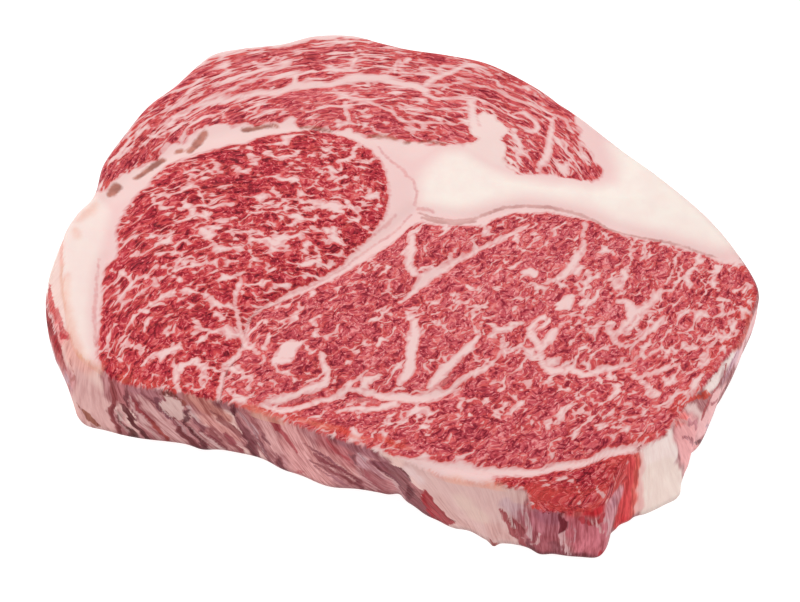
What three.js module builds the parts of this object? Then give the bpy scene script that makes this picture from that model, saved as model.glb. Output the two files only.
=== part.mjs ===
import * as THREE from 'three';

// A raw rib steak: one thick slice cut straight across the grain, lying flat on its cut face.
// Millimetres, +Z up. The slice has a cap muscle at the back, a fat seam under it, one muscle
// on each side of the middle, and a small flap of meat that hangs on at the front.

// Driving dimensions
const THICKNESS = 26;
const TOP_ROUND = 1.8;      // radius that softens the upper cut edge
const FOOT_ROUND = 2.2;     // radius that softens the lower cut edge
const BELLY_HEIGHT = 13;    // height at which the wall stands out most
const SWELL = 0.9;          // how far a muscle rises between the seams around it
const SWELL_REACH = 16;     // distance from a seam at which that rise is complete
const FACE_LEVEL = THICKNESS - 0.3;     // height of the cut face in the middle of a muscle
const ROLL = 0.4;           // slow rise and fall of the whole cut face
const ROLL_ACROSS = 17;     // how quickly that changes along X
const ROLL_DEEP = 14;       // and along Y
const FLAP_DROP = 4.4;      // how far the flap's front edge lies below the cut face
const FLAP_REACH = 9;       // depth of the flap from its seam to its front edge
const FLAP_SIDE = 6;        // width over which its slope fades out at either end
const RIB = 0.45;           // depth of the ribs that layers of fat and meat leave in the wall
const HUB = new THREE.Vector2(0, 8);    // the middle that every ring is drawn around

// Mesh density
const STEPS_AROUND = 192;
const TOP_RINGS = 19;
const WALL_STEPS = 6;
const ROUND_STEPS = 2;
const BASE_RINGS = 2;

// The edge of the upper cut face, anticlockwise from the right-hand end: x, y, how far the foot of
// the wall lies outside it, and how far the wall bellies out between the two.
const RIM = [
  [93.6, -7.2, -1.0, 0.8], [92.2, 1.3, -0.5, 1.2], [87.6, 12.1, 0.0, 1.4], [81.3, 22.0, 0.4, 1.4],
  [70.7, 35.0, 0.0, 1.2], [59.1, 48.0, -0.6, 1.0], [47.9, 61.6, -0.5, 1.2], [39.3, 70.4, 0.0, 1.4],
  [26.0, 79.6, 0.5, 1.4], [14.6, 83.3, 0.2, 1.2], [2.6, 86.1, -0.4, 1.0], [-5.3, 89.0, -0.2, 1.0],
  [-13.7, 92.3, 0.4, 1.0], [-25.3, 92.3, 0.4, 1.2], [-34.8, 88.8, 0.0, 1.3], [-45.4, 86.9, -0.6, 1.0],
  [-54.3, 84.1, 0.0, 0.8], [-58.8, 79.0, 0.4, 0.8], [-64.1, 71.3, 0.0, 1.2], [-71.3, 63.1, -0.4, 1.4],
  [-77.4, 51.2, -0.4, 1.4], [-82.2, 39.8, 0.0, 1.2], [-83.6, 28.7, 0.4, 1.0], [-87.4, 21.0, 0.8, 1.8],
  [-89.9, 12.2, 1.4, 3.0], [-89.3, 3.0, 1.8, 4.6], [-87.9, -6.6, 2.0, 4.7], [-85.5, -18.1, 1.8, 3.6],
  [-82.0, -27.0, 1.6, 1.6], [-75.5, -32.4, 2.0, 1.2], [-68.9, -37.2, -0.6, 0.8], [-57.0, -40.0, -1.6, 0.6],
  [-45.6, -42.8, -2.2, 0.8], [-33.3, -46.9, -2.8, 0.8], [-17.2, -54.0, -1.2, 0.8], [-5.0, -58.4, -4.2, 0.8],
  [5.0, -62.0, -2.8, 1.0], [14.4, -65.6, 0.2, 1.2], [22.0, -67.0, 1.6, 1.4], [29.0, -67.8, 1.6, 1.6],
  [37.0, -69.6, 2.2, 1.6], [45.0, -69.6, 3.2, 1.4], [50.0, -67.0, 3.4, 1.0], [53.0, -62.4, 3.2, 0.6],
  [58.2, -57.6, 4.2, 0.2], [65.6, -52.8, 4.4, 0.6], [70.0, -46.1, 3.4, 1.0], [76.1, -39.0, 1.4, 1.2],
  [81.7, -31.1, 0.0, 1.0], [86.7, -24.0, -1.6, 0.8], [90.8, -15.0, -1.6, 0.6],
];

// Places where the foot bulges out or is drawn in: millimetres along the edge from the right-hand
// end, half-width, and how far out.
const FOOT_WAVES = [
  [28.9, 5, 0.6], [59.1, 4, -0.8], [93.3, 6, 0.8], [122, 4, -0.7], [152.2, 5, 0.9], [185, 4, -0.8],
  [218.2, 5, 0.8], [244.6, 4, -0.6], [320.7, 4.6, 2.4], [353.2, 3.2, 1], [374.7, 4.5, 1.2],
  [393.7, 5.5, -1.1], [414.2, 3, 0.8], [426.2, 4, -1.7], [510.2, 4, -0.9],
];

// The furrow along which the flap hangs on; its face slopes down in front of it.
const FLAP_SEAM = [[5, -61.5], [20, -63], [35, -62.5], [50, -58], [58, -56]];
const FLAP_LEFT = 20;
const FLAP_RIGHT = 58;

// Seams of fat between the muscles, each with the depth and half-width of its furrow
const SEAMS = [
  { depth: 0.9, spread: 2.6, path: [[4, 22], [-5, 12], [-15, 1], [-25, -5], [-38, -14], [-40, -24]] },
  { depth: 0.5, spread: 1.8, path: [[-42, -2], [-42, -13], [-40, -24], [-43, -33]] },
  { depth: 0.8, spread: 3.2, path: [[-80, 24], [-73, 36], [-62, 46], [-46, 52], [-28, 54], [2, 47]] },
  { depth: 0.6, spread: 2.6, path: [[-60, 60], [-40, 67], [-20, 71], [2, 72], [16, 67], [30, 67], [42, 62]] },
  { depth: 0.7, spread: 2.0, path: [[5, 22], [20, 19.5], [34, 24], [50, 20], [66, 12.5], [86, 4.5]] },
  { depth: 0.4, spread: 2.2, path: [[30, 40], [43, 36], [56, 35]] },
  { depth: 0.7, spread: 2.0, path: [[-35, -45], [-20, -42], [-5, -40], [8, -41], [16, -38]] },
  { depth: 0.6, spread: 2.0, path: [[1, -9], [16, 4.4], [27, 12], [33, 17.5]] },
  { depth: 0.6, spread: 2.0, path: [[34, -15], [32, -22], [36, -31], [50, -32.5], [60, -30]] },
  { depth: 0.5, spread: 2.4, path: [[-78, 4], [-78, -8], [-76, -24], [-72, -32]] },
  { depth: 1.2, spread: 2.2, path: FLAP_SEAM },
];

// Smooth step from 0 at a to 1 at b.
function fade(value, a, b) {
  return THREE.MathUtils.smoothstep(value, a, b);
}

// Closed curves through the rim: one for the upper edge, one for how the wall goes down from it.
const rimCurve = new THREE.CatmullRomCurve3(
  RIM.map(([x, y]) => new THREE.Vector3(x, y, 0)), true, 'centripetal');
const wallCurve = new THREE.CatmullRomCurve3(
  RIM.map(([, , foot, belly]) => new THREE.Vector3(foot, belly, 0)), true, 'centripetal');

// How far a wave moves the foot, at a distance along the edge.
function footWave(distance) {
  return FOOT_WAVES.reduce(
    (sum, [at, halfWidth, out]) => sum + out * Math.exp(-(((distance - at) / halfWidth) ** 2)), 0);
}

// Points of the rim in even steps along its length, each with its outward direction.
function rimStations() {
  rimCurve.arcLengthDivisions = RIM.length * 24;
  const length = rimCurve.getLength();
  return Array.from({ length: STEPS_AROUND }, (_, step) => {
    const turn = rimCurve.getUtoTmapping(step / STEPS_AROUND);
    const point = rimCurve.getPoint(turn);
    const along = rimCurve.getTangent(turn);
    const wall = wallCurve.getPoint(turn);
    return {
      point: new THREE.Vector2(point.x, point.y),
      outward: new THREE.Vector2(along.y, -along.x).normalize(),
      foot: wall.x + footWave(length * step / STEPS_AROUND),
      belly: wall.y,
    };
  });
}

function distanceToPath(point, path) {
  let nearest = Infinity;
  for (let i = 1; i < path.length; i += 1) {
    const start = new THREE.Vector2(...path[i - 1]);
    const run = new THREE.Vector2(...path[i]).sub(start);
    const offset = point.clone().sub(start);
    const share = THREE.MathUtils.clamp(offset.dot(run) / run.lengthSq(), 0, 1);
    nearest = Math.min(nearest, offset.sub(run.multiplyScalar(share)).length());
  }
  return nearest;
}

// The y of a path that runs from left to right, at a given x.
function pathY(path, x) {
  const after = path.findIndex(([knotX]) => knotX > x);
  if (after === 0) return path[0][1];
  if (after < 0) return path.at(-1)[1];
  const [[x0, y0], [x1, y1]] = [path[after - 1], path[after]];
  return THREE.MathUtils.mapLinear(x, x0, x1, y0, y1);
}

// How far the flap's face has sunk below the cut face at a point: 0 everywhere else.
function flapSink(point) {
  const inFront = fade(pathY(FLAP_SEAM, point.x) - point.y, 0, FLAP_REACH);
  const between = fade(point.x, FLAP_LEFT, FLAP_LEFT + FLAP_SIDE)
    * (1 - fade(point.x, FLAP_RIGHT - FLAP_SIDE, FLAP_RIGHT));
  return FLAP_DROP * inFront * between;
}

// Height of the upper cut face: muscles swell between sunken seams, over a slow roll of the meat.
function faceHeight(point) {
  let nearestSeam = Infinity;
  let furrow = 0;
  for (const { depth, spread, path } of SEAMS) {
    const distance = distanceToPath(point, path);
    nearestSeam = Math.min(nearestSeam, distance);
    furrow = Math.max(furrow, depth * Math.exp(-((distance / spread) ** 2)));
  }
  const shortOfFull = SWELL * (1 - fade(nearestSeam, 0, SWELL_REACH));
  const roll = ROLL * Math.sin(point.x / ROLL_ACROSS) * Math.cos(point.y / ROLL_DEEP);
  return FACE_LEVEL - shortOfFull + roll - furrow - flapSink(point);
}

// The wall under one station, from the end of the upper rounding to the start of the lower one.
// It leans towards its foot, bellies out, and has shallow ribs that drift as they go down.
function wallPoint(station, index, share) {
  const height = THREE.MathUtils.lerp(topOf(station) - TOP_ROUND, FOOT_ROUND, share);
  const fullness = Math.cos((Math.PI / 2) * ((height - BELLY_HEIGHT) / THICKNESS));
  const rib = RIB * (Math.sin(index * 0.62 + 5 * share) + Math.sin(index * 0.28 - 4 * share));
  const awayFromEnds = Math.sin(Math.PI * share);
  return place(station, station.foot * share + (station.belly * fullness + rib) * awayFromEnds, height);
}

function topOf(station) {
  return faceHeight(station.point.clone().addScaledVector(station.outward, -TOP_ROUND));
}

function place(station, out, height) {
  const plan = station.point.clone().addScaledVector(station.outward, out);
  return new THREE.Vector3(plan.x, plan.y, height);
}

// Every ring of the slice, from the middle of the upper face over the wall to the middle of the base.
function sliceRings() {
  const stations = rimStations();
  const rings = [];
  for (let ring = 1; ring <= TOP_RINGS; ring += 1) {
    const share = ring / TOP_RINGS;
    rings.push(stations.map((station) => {
      const edge = station.point.clone().addScaledVector(station.outward, -TOP_ROUND);
      const plan = HUB.clone().lerp(edge, share);
      return new THREE.Vector3(plan.x, plan.y, faceHeight(plan));
    }));
  }
  for (let step = 1; step <= ROUND_STEPS; step += 1) {
    const turn = (Math.PI / 2) * (step / ROUND_STEPS);
    rings.push(stations.map((station) => place(
      station, TOP_ROUND * (Math.sin(turn) - 1), topOf(station) - TOP_ROUND * (1 - Math.cos(turn)))));
  }
  for (let step = 1; step <= WALL_STEPS; step += 1) {
    rings.push(stations.map((station, index) => wallPoint(station, index, step / WALL_STEPS)));
  }
  for (let step = 1; step <= ROUND_STEPS; step += 1) {
    const turn = (Math.PI / 2) * (step / ROUND_STEPS);
    rings.push(stations.map((station) => place(
      station, station.foot - FOOT_ROUND * (1 - Math.cos(turn)), FOOT_ROUND * (1 - Math.sin(turn)))));
  }
  for (let ring = 1; ring < BASE_RINGS; ring += 1) {
    rings.push(stations.map((station) => {
      const edge = place(station, station.foot - FOOT_ROUND, 0);
      return edge.lerp(new THREE.Vector3(HUB.x, HUB.y, 0), ring / BASE_RINGS);
    }));
  }
  return rings;
}

// Rings of points become one closed solid, with a point of its own at each end.
function solidFromRings(rings) {
  const around = rings[0].length;
  const top = new THREE.Vector3(HUB.x, HUB.y, faceHeight(HUB));
  const base = new THREE.Vector3(HUB.x, HUB.y, 0);
  const points = [top, ...rings.flat(), base];
  const index = [];
  const at = (ring, step) => 1 + ring * around + (step % around);
  for (let step = 0; step < around; step += 1) {
    index.push(0, at(0, step), at(0, step + 1));
    for (let ring = 1; ring < rings.length; ring += 1) {
      const [a, b] = [at(ring - 1, step), at(ring - 1, step + 1)];
      const [c, d] = [at(ring, step), at(ring, step + 1)];
      index.push(a, c, b, b, c, d);
    }
    index.push(points.length - 1, at(rings.length - 1, step + 1), at(rings.length - 1, step));
  }
  const geometry = new THREE.BufferGeometry().setFromPoints(points);
  geometry.setIndex(index);
  return geometry;
}

// The origin is under the middle of the bounding box, on the surface that the steak lies on.
function standOnOrigin(geometry) {
  geometry.computeBoundingBox();
  const middle = geometry.boundingBox.getCenter(new THREE.Vector3());
  geometry.translate(-middle.x, -middle.y, -geometry.boundingBox.min.z);
  geometry.computeVertexNormals();
  return geometry;
}

const beef = new THREE.MeshStandardMaterial({ color: 0xb8474d, roughness: 0.42, metalness: 0 });
const steak = new THREE.Mesh(standOnOrigin(solidFromRings(sliceRings())), beef);
steak.name = 'steak';

const part = new THREE.Group();
part.add(steak);

export default part;
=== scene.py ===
import math

import bmesh
import bpy
import numpy as np
from mathutils import Matrix, Vector


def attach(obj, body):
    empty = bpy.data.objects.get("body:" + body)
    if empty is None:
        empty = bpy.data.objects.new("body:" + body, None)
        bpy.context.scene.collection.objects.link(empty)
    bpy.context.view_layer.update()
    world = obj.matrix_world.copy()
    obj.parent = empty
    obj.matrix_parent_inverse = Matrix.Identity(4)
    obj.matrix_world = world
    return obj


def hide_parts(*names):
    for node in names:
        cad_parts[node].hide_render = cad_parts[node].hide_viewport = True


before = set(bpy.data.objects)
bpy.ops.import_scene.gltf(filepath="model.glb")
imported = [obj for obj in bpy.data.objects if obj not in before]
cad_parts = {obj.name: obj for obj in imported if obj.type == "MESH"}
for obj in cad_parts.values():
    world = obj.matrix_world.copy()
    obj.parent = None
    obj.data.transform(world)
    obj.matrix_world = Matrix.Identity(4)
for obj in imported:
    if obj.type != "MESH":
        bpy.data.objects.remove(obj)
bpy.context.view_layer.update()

# ---------------------------------------------------------------------------------------------
# The steak
# One thick slice of raw, marbled rib of beef: four muscles with fat in and between them. A knife
# cuts it straight across the grain, and it lies on its lower cut face. Its edge follows the
# muscles, its walls lean and belly, and a flap of meat hangs on in front.

# Sizes are in millimetres, on the slice's own drawing, whose middle is moved onto the frame.
THICKNESS = 26.0
TOP_ROUND = 1.8         # radius that softens the upper cut edge
FOOT_ROUND = 2.2        # radius that softens the lower cut edge
BELLY_HEIGHT = 13.0     # height at which the wall stands out most
SWELL = 0.9             # how far a muscle rises between the seams around it
SWELL_REACH = 16.0      # how far from a seam it would rise that much
FACE_LEVEL = THICKNESS - 0.3    # level of the cut face before it swells and sinks
ROLL = 0.4              # slow rise and fall of the whole cut face
ROLL_ACROSS = 17.0      # how slow it is to the side
ROLL_DEEP = 14.0        # and to the back
FLAP_DROP = 4.4         # how far the flap's front edge lies below the cut face
FLAP_REACH = 9.0        # from the flap's seam to where it lies that low
FLAP_SIDE = 6.0         # from the flap's left or right side to where it lies that low
STROKE_REACH = 12.0     # nothing follows a stroke further than this from its sides
HUB = np.array([0.0, 8.0])      # the point that the rings of the cut face close round
DRAWING_MIDDLE = np.array([-0.57, 10.98])

# The edge of the upper cut face, anticlockwise from the right-hand tip: x, y, how far the foot
# lies outside it, how far the wall bellies out, and how far the fibres in the wall drift along
# the edge for each millimetre that they go down.
RIM = np.array([
    (93.6, -7.2, -1.0, 0.8, 0.2), (92.2, 1.3, -0.5, 1.2, 0.2), (87.6, 12.1, 0.0, 1.4, 0.3),
    (81.3, 22.0, 0.4, 1.4, 0.3), (70.7, 35.0, 0.0, 1.2, 0.3), (59.1, 48.0, -0.6, 1.0, 0.3),
    (47.9, 61.6, -0.5, 1.2, 0.3), (39.3, 70.4, 0.0, 1.4, 0.4), (26.0, 79.6, 0.5, 1.4, 0.4),
    (14.6, 83.3, 0.2, 1.2, 0.4), (2.6, 86.1, -0.4, 1.0, 0.4), (-5.3, 89.0, -0.2, 1.0, 0.4),
    (-13.7, 92.3, 0.4, 1.0, 0.4), (-25.3, 92.3, 0.4, 1.2, 0.3), (-34.8, 88.8, 0.0, 1.3, 0.3),
    (-45.4, 86.9, -0.6, 1.0, 0.3), (-54.3, 84.1, 0.0, 0.8, 0.3), (-58.8, 79.0, 0.4, 0.8, 0.3),
    (-64.1, 71.3, 0.0, 1.2, 0.3), (-71.3, 63.1, -0.4, 1.4, 0.3), (-77.4, 51.2, -0.4, 1.4, 0.3),
    (-82.2, 39.8, 0.0, 1.2, 0.2), (-83.6, 28.7, 0.4, 1.0, 0.1), (-87.4, 21.0, 0.8, 1.8, 0.0),
    (-89.9, 12.2, 1.4, 3.0, 0.0), (-89.3, 3.0, 1.8, 4.6, 0.0), (-87.9, -6.6, 2.0, 4.7, 0.0),
    (-85.5, -18.1, 1.8, 3.6, 0.0), (-82.0, -27.0, 1.6, 1.6, 0.0), (-75.5, -32.4, 2.0, 1.2, 0.1),
    (-68.9, -37.2, -0.6, 0.8, 0.3), (-57.0, -40.0, -1.6, 0.6, 0.45), (-45.6, -42.8, -2.2, 0.8, 0.5),
    (-33.3, -46.9, -2.8, 0.8, 0.4), (-17.2, -54.0, -1.2, 0.8, 0.45), (-5.0, -58.4, -4.2, 0.8, 0.6),
    (5.0, -62.0, -2.8, 1.0, 0.8), (14.4, -65.6, 0.2, 1.2, 0.7), (22.0, -67.0, 1.6, 1.4, 0.4),
    (29.0, -67.8, 1.6, 1.6, 0.2), (37.0, -69.6, 2.2, 1.6, 0.1), (45.0, -69.6, 3.2, 1.4, 0.0),
    (50.0, -67.0, 3.4, 1.0, 0.0), (53.0, -62.4, 3.2, 0.6, 0.0), (58.2, -57.6, 4.2, 0.2, 0.0),
    (65.6, -52.8, 4.4, 0.6, 0.1), (70.0, -46.1, 3.4, 1.0, 0.3), (76.1, -39.0, 1.4, 1.2, 0.4),
    (81.7, -31.1, 0.0, 1.0, 0.4), (86.7, -24.0, -1.6, 0.8, 0.3), (90.8, -15.0, -1.6, 0.6, 0.2),
])

# Where the foot of the wall sits further out or in than the knots say: how far along the edge,
# half-width of the wave, and how far out.
FOOT_WAVES = [
    (28.9, 5, 0.6), (59.1, 4, -0.8), (93.3, 6, 0.8), (122, 4, -0.7), (152.2, 5, 0.9), (185, 4, -0.8),
    (218.2, 5, 0.8), (244.6, 4, -0.6), (320.7, 4.6, 2.4), (353.2, 3.2, 1), (374.7, 4.5, 1.2),
    (393.7, 5.5, -1.1), (405.7, 1.8, -1.3), (414.2, 3, 0.8), (426.2, 4, -1.7), (432.6, 1.1, 1.2),
    (444.5, 2, 0.9), (456.7, 2.2, 1.2), (461.8, 2.2, -1.6), (466.2, 2.4, -0.8), (471.2, 2, -0.7),
    (482.7, 1.8, 1), (495.7, 2.2, -1), (510.2, 4, -0.9),
]

# The furrow along which the flap hangs on; its face slopes down in front of it.
FLAP_SEAM = [(5, -61.5), (20, -63), (35, -62.5), (50, -58), (58, -56)]
FLAP_LEFT, FLAP_RIGHT = 20.0, 58.0

# Seams between the muscles: depth and half-width of the furrow, and its path.
FURROWS = [
    (0.9, 2.6, [(4, 22), (-5, 12), (-15, 1), (-25, -5), (-38, -14), (-40, -24)]),
    (0.5, 1.8, [(-42, -2), (-42, -13), (-40, -24), (-43, -33)]),
    (0.8, 3.2, [(-80, 24), (-73, 36), (-62, 46), (-46, 52), (-28, 54), (2, 47)]),
    (0.6, 2.6, [(-60, 60), (-40, 67), (-20, 71), (2, 72), (16, 67), (30, 67), (42, 62)]),
    (0.7, 2.0, [(5, 22), (20, 19.5), (34, 24), (50, 20), (66, 12.5), (86, 4.5)]),
    (0.4, 2.2, [(30, 40), (43, 36), (56, 35)]),
    (0.7, 2.0, [(-35, -45), (-20, -42), (-5, -40), (8, -41), (16, -38)]),
    (0.6, 2.0, [(1, -9), (16, 4.4), (27, 12), (33, 17.5)]),
    (0.6, 2.0, [(34, -15), (32, -22), (36, -31), (50, -32.5), (60, -30)]),
    (0.5, 2.4, [(-78, 4), (-78, -8), (-76, -24), (-72, -32)]),
    (1.2, 2.2, FLAP_SEAM),
]


def closed_curve(knots, steps):
    """A smooth closed curve through rows of knots, whose first two columns are its plan."""
    rows = []
    for i in range(len(knots)):
        p0, p1, p2, p3 = (knots[(i + k) % len(knots)] for k in (-1, 0, 1, 2))
        t0, t1, t2 = (math.sqrt(np.linalg.norm((q - p)[:2])) for p, q in ((p0, p1), (p1, p2), (p2, p3)))
        leave = ((p1 - p0) / t0 - (p2 - p0) / (t0 + t1) + (p2 - p1) / t1) * t1
        arrive = ((p2 - p1) / t1 - (p3 - p1) / (t1 + t2) + (p3 - p2) / t2) * t1
        for t in np.arange(steps) / steps:
            rows.append((2 * t**3 - 3 * t**2 + 1) * p1 + (t**3 - 2 * t**2 + t) * leave
                        + (3 * t**2 - 2 * t**3) * p2 + (t**3 - t**2) * arrive)
    return np.array(rows)


EDGE_STEPS = 24         # points along the edge for each knot of it
edge = closed_curve(RIM, EDGE_STEPS)
ahead, behind = np.roll(edge, -1, 0)[:, :2], np.roll(edge, 1, 0)[:, :2]
outward = np.stack([(ahead - behind)[:, 1], -(ahead - behind)[:, 0]], 1)
outward /= np.linalg.norm(outward, axis=1)[:, None]
edge = np.hstack([edge, outward])
edge_at = np.concatenate([[0], np.cumsum(np.linalg.norm(ahead - edge[:, :2], axis=1))])
EDGE_LENGTH = edge_at[-1]


def along_edge(distance):
    """The edge's columns at distances in millimetres along it from the right-hand tip."""
    wrapped = np.mod(distance, EDGE_LENGTH)
    closed = np.vstack([edge, edge[:1]])
    return np.stack([np.interp(wrapped, edge_at, column) for column in closed.T], 1)


def fade(value, start, end):
    """0 up to the start, 1 from the end on, and smooth between them."""
    share = np.clip((value - start) / (end - start), 0, 1)
    return share * share * (3 - 2 * share)


def between(value, rise_start, rise_end, fall_start, fall_end):
    """1 inside a stretch and 0 outside it, with soft ends."""
    return fade(value, rise_start, rise_end) * (1 - fade(value, fall_start, fall_end))


TINY = 1e-9             # keeps a share of a run without length from dividing by nothing


def stroke_reach(points, stroke):
    """How far points lie inside a stroke of (x, y, width), tapered between its stations."""
    stroke = np.array(stroke, float)
    if stroke.shape[1] == 2:
        stroke = np.hstack([stroke, np.zeros((len(stroke), 1))])
    low, high = stroke[:, :2].min(0) - STROKE_REACH, stroke[:, :2].max(0) + STROKE_REACH
    near = np.all((points > low) & (points < high), axis=1)
    local = points[near]
    best = np.full(len(local), -STROKE_REACH)
    for start, end in zip(stroke[:-1], stroke[1:]):
        run = (end - start)[:2]
        share = np.clip((local - start[:2]) @ run / max(run @ run, TINY), 0, 1)
        gap = np.linalg.norm(local - start[:2] - share[:, None] * run, axis=1)
        best = np.maximum(best, (start[2] + share * (end[2] - start[2])) / 2 - gap)
    reach = np.full(len(points), -STROKE_REACH)
    reach[near] = best
    return reach


def strokes_reach(points, strokes):
    """How far points lie inside the stroke that they are deepest in."""
    return np.max([stroke_reach(points, stroke) for stroke in strokes], axis=0)


def face_height(plan):
    """Height of the upper cut face: muscles swell between sunken seams over a slow roll."""
    furrow = np.zeros(len(plan))
    nearest = np.full(len(plan), STROKE_REACH)
    for depth, spread, path in FURROWS:
        gap = -stroke_reach(plan, path)
        nearest = np.minimum(nearest, gap)
        furrow = np.maximum(furrow, depth * np.exp(-(gap / spread) ** 2))
    seam_x, seam_y = np.array(FLAP_SEAM, float).T
    in_front = fade(np.interp(plan[:, 0], seam_x, seam_y) - plan[:, 1], 0, FLAP_REACH)
    on_flap = between(plan[:, 0], FLAP_LEFT, FLAP_LEFT + FLAP_SIDE, FLAP_RIGHT - FLAP_SIDE, FLAP_RIGHT)
    roll = ROLL * np.sin(plan[:, 0] / ROLL_ACROSS) * np.cos(plan[:, 1] / ROLL_DEEP)
    short = SWELL * (1 - fade(nearest, 0, SWELL_REACH))
    return FACE_LEVEL - short + roll - furrow - FLAP_DROP * in_front * on_flap


# The mesh: a square sheet for the upper face, a skirt of rows for the wall, a coarser sheet below.
FACE_CELLS = 244
BASE_CELLS = 64
ROUND_ROWS, WALL_ROWS, FOOT_ROWS = 3, 30, 3
SKIRT_ROWS = ROUND_ROWS + WALL_ROWS + FOOT_ROWS

bm = bmesh.new()
bmesh.ops.create_grid(bm, x_segments=FACE_CELLS, y_segments=FACE_CELLS, size=1.0)
hem = [e for e in bm.edges if e.is_boundary]
for row in range(SKIRT_ROWS):
    skirt = bmesh.ops.extrude_edge_only(bm, edges=hem)["geom"]
    bmesh.ops.translate(bm, verts=[g for g in skirt if isinstance(g, bmesh.types.BMVert)], vec=(0, 0, -1))
    hem = [g for g in skirt if isinstance(g, bmesh.types.BMEdge) and g.is_boundary]
base = bmesh.ops.create_grid(bm, x_segments=BASE_CELLS, y_segments=BASE_CELLS, size=1.0,
                             matrix=Matrix.Translation((0, 0, -SKIRT_ROWS - 1)))["verts"]
base_hem = list({e for v in base for e in v.link_edges if e.is_boundary})
bmesh.ops.bridge_loops(bm, edges=hem + base_hem)

steak_mesh = bpy.data.meshes.new("steak_meat")
bm.to_mesh(steak_mesh)
bm.free()

sheet = np.empty(len(steak_mesh.vertices) * 3)
steak_mesh.vertices.foreach_get("co", sheet)
across, deep, row = sheet.reshape(-1, 3).T
row = np.round(-row)

# The square sheet turns into rings round the hub: ring 0 is the hub and ring 1 the edge.
ring = np.maximum(abs(across), abs(deep))
sideways = abs(across) >= abs(deep)
widest = np.where(sideways, across, deep)
widest = np.where(widest == 0, 1, widest)
turn = np.where(sideways, deep / widest, 2 - across / widest) * math.pi / 4
turn += np.where(widest < 0, math.pi, 0)
station = np.mod(turn / (2 * math.pi), 1) * EDGE_LENGTH

rim = along_edge(station)
rim_plan, foot, belly, drift, normal = rim[:, :2], rim[:, 2], rim[:, 3], rim[:, 4], rim[:, 5:7]
foot = foot + sum(out * np.exp(-((station - at) / half) ** 2) for at, half, out in FOOT_WAVES)
face_edge = rim_plan - TOP_ROUND * normal
edge_height = face_height(face_edge)

is_face = row == 0
is_base = row > SKIRT_ROWS
round_turn = np.clip(row / ROUND_ROWS, 0, 1) * math.pi / 2
wall_share = np.clip((row - ROUND_ROWS) / WALL_ROWS, 0, 1)
foot_turn = np.clip((row - ROUND_ROWS - WALL_ROWS) / FOOT_ROWS, 0, 1) * math.pi / 2

wall_top = edge_height - TOP_ROUND
height = np.where(row <= ROUND_ROWS, edge_height - TOP_ROUND * (1 - np.cos(round_turn)),
                  wall_top + wall_share * (FOOT_ROUND - wall_top))
height = np.where(foot_turn > 0, FOOT_ROUND * (1 - np.sin(foot_turn)), height)
height = np.where(is_base, 0, height)
fullness = np.cos(math.pi / 2 * (height - BELLY_HEIGHT) / THICKNESS)
out = np.where(row <= ROUND_ROWS, TOP_ROUND * (np.sin(round_turn) - 1),
               foot * wall_share + belly * fullness * np.sin(math.pi * wall_share))
out = np.where(foot_turn > 0, foot - FOOT_ROUND * (1 - np.cos(foot_turn)), out)
out = np.where(is_base, foot - FOOT_ROUND, out)

plan = rim_plan + out[:, None] * normal
plan = np.where((is_face | is_base)[:, None], HUB + ring[:, None] * (plan - HUB), plan)
height = np.where(is_face, face_height(plan), height)

# Where each point's pattern is read on the cut face: fibres run down through the slice and drift
# along the edge as they go, so the wall and the base carry on from what shows above them.
depth = np.where(is_face, 0, np.clip(THICKNESS - height, 0, THICKNESS))
below_edge = np.where(is_face, 0, np.clip(edge_height - height, 0, THICKNESS))
past_rim = row > ROUND_ROWS
source_edge = along_edge(station - drift * depth)[:, :2]
pattern_plan = np.where(is_base[:, None], HUB + ring[:, None] * (source_edge - HUB), source_edge)
pattern_plan = np.where(past_rim[:, None], pattern_plan, plan)

# The lay of lean and fat. Four muscles show on the cut: the eye on the left, the long muscle on
# the right, the cap round the back and the flap in front. All between and around them is fat.
LEFT_MUSCLE = [
    (-74, -36), (-76, -28), (-76.7, -20), (-77.3, -5), (-77.3, 1), (-74.5, 6), (-75.5, 12), (-75, 17),
    (-73.5, 22), (-71.5, 27), (-68.5, 31), (-65.5, 37), (-60, 42), (-50, 45), (-41, 48.2), (-36, 50.5),
    (-28, 52.3), (-22, 52.5), (-17, 50.7), (-13, 48.5), (-10, 46), (-7, 42.5), (-5, 38), (-4, 33.5),
    (-3, 26), (-4, 21), (-7, 15), (-9, 11.5), (-12, 7), (-19, 0), (-24, -4), (-30, -8), (-38, -14),
    (-40, -24), (-42, -30), (-44, -36), (-46, -54), (-74, -50),
]
RIGHT_MUSCLE = [
    (-38, -14), (-30, -8.6), (-20, -2.5), (-12, 4.5), (-5, 10.5), (0, 15), (6, 17), (12, 15.8),
    (18, 15.8), (24, 17.5), (30, 20.2), (36, 21.3), (42, 21), (48, 19.6), (53, 17), (56, 15), (60, 13),
    (66, 11.5), (72, 10), (80, 6.6), (86, 3.6), (98, 0), (102, -8), (96, -22), (88, -32), (80, -41),
    (73, -49), (67, -54.2), (62, -54.3), (57, -55.3), (50, -57.6), (43, -60.2), (35, -62), (27, -62.8),
    (20, -62.4), (10, -61), (0, -58.8), (-7, -57), (-12, -64), (-30, -58), (-44, -52), (-44, -36),
    (-41, -26),
]
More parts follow.
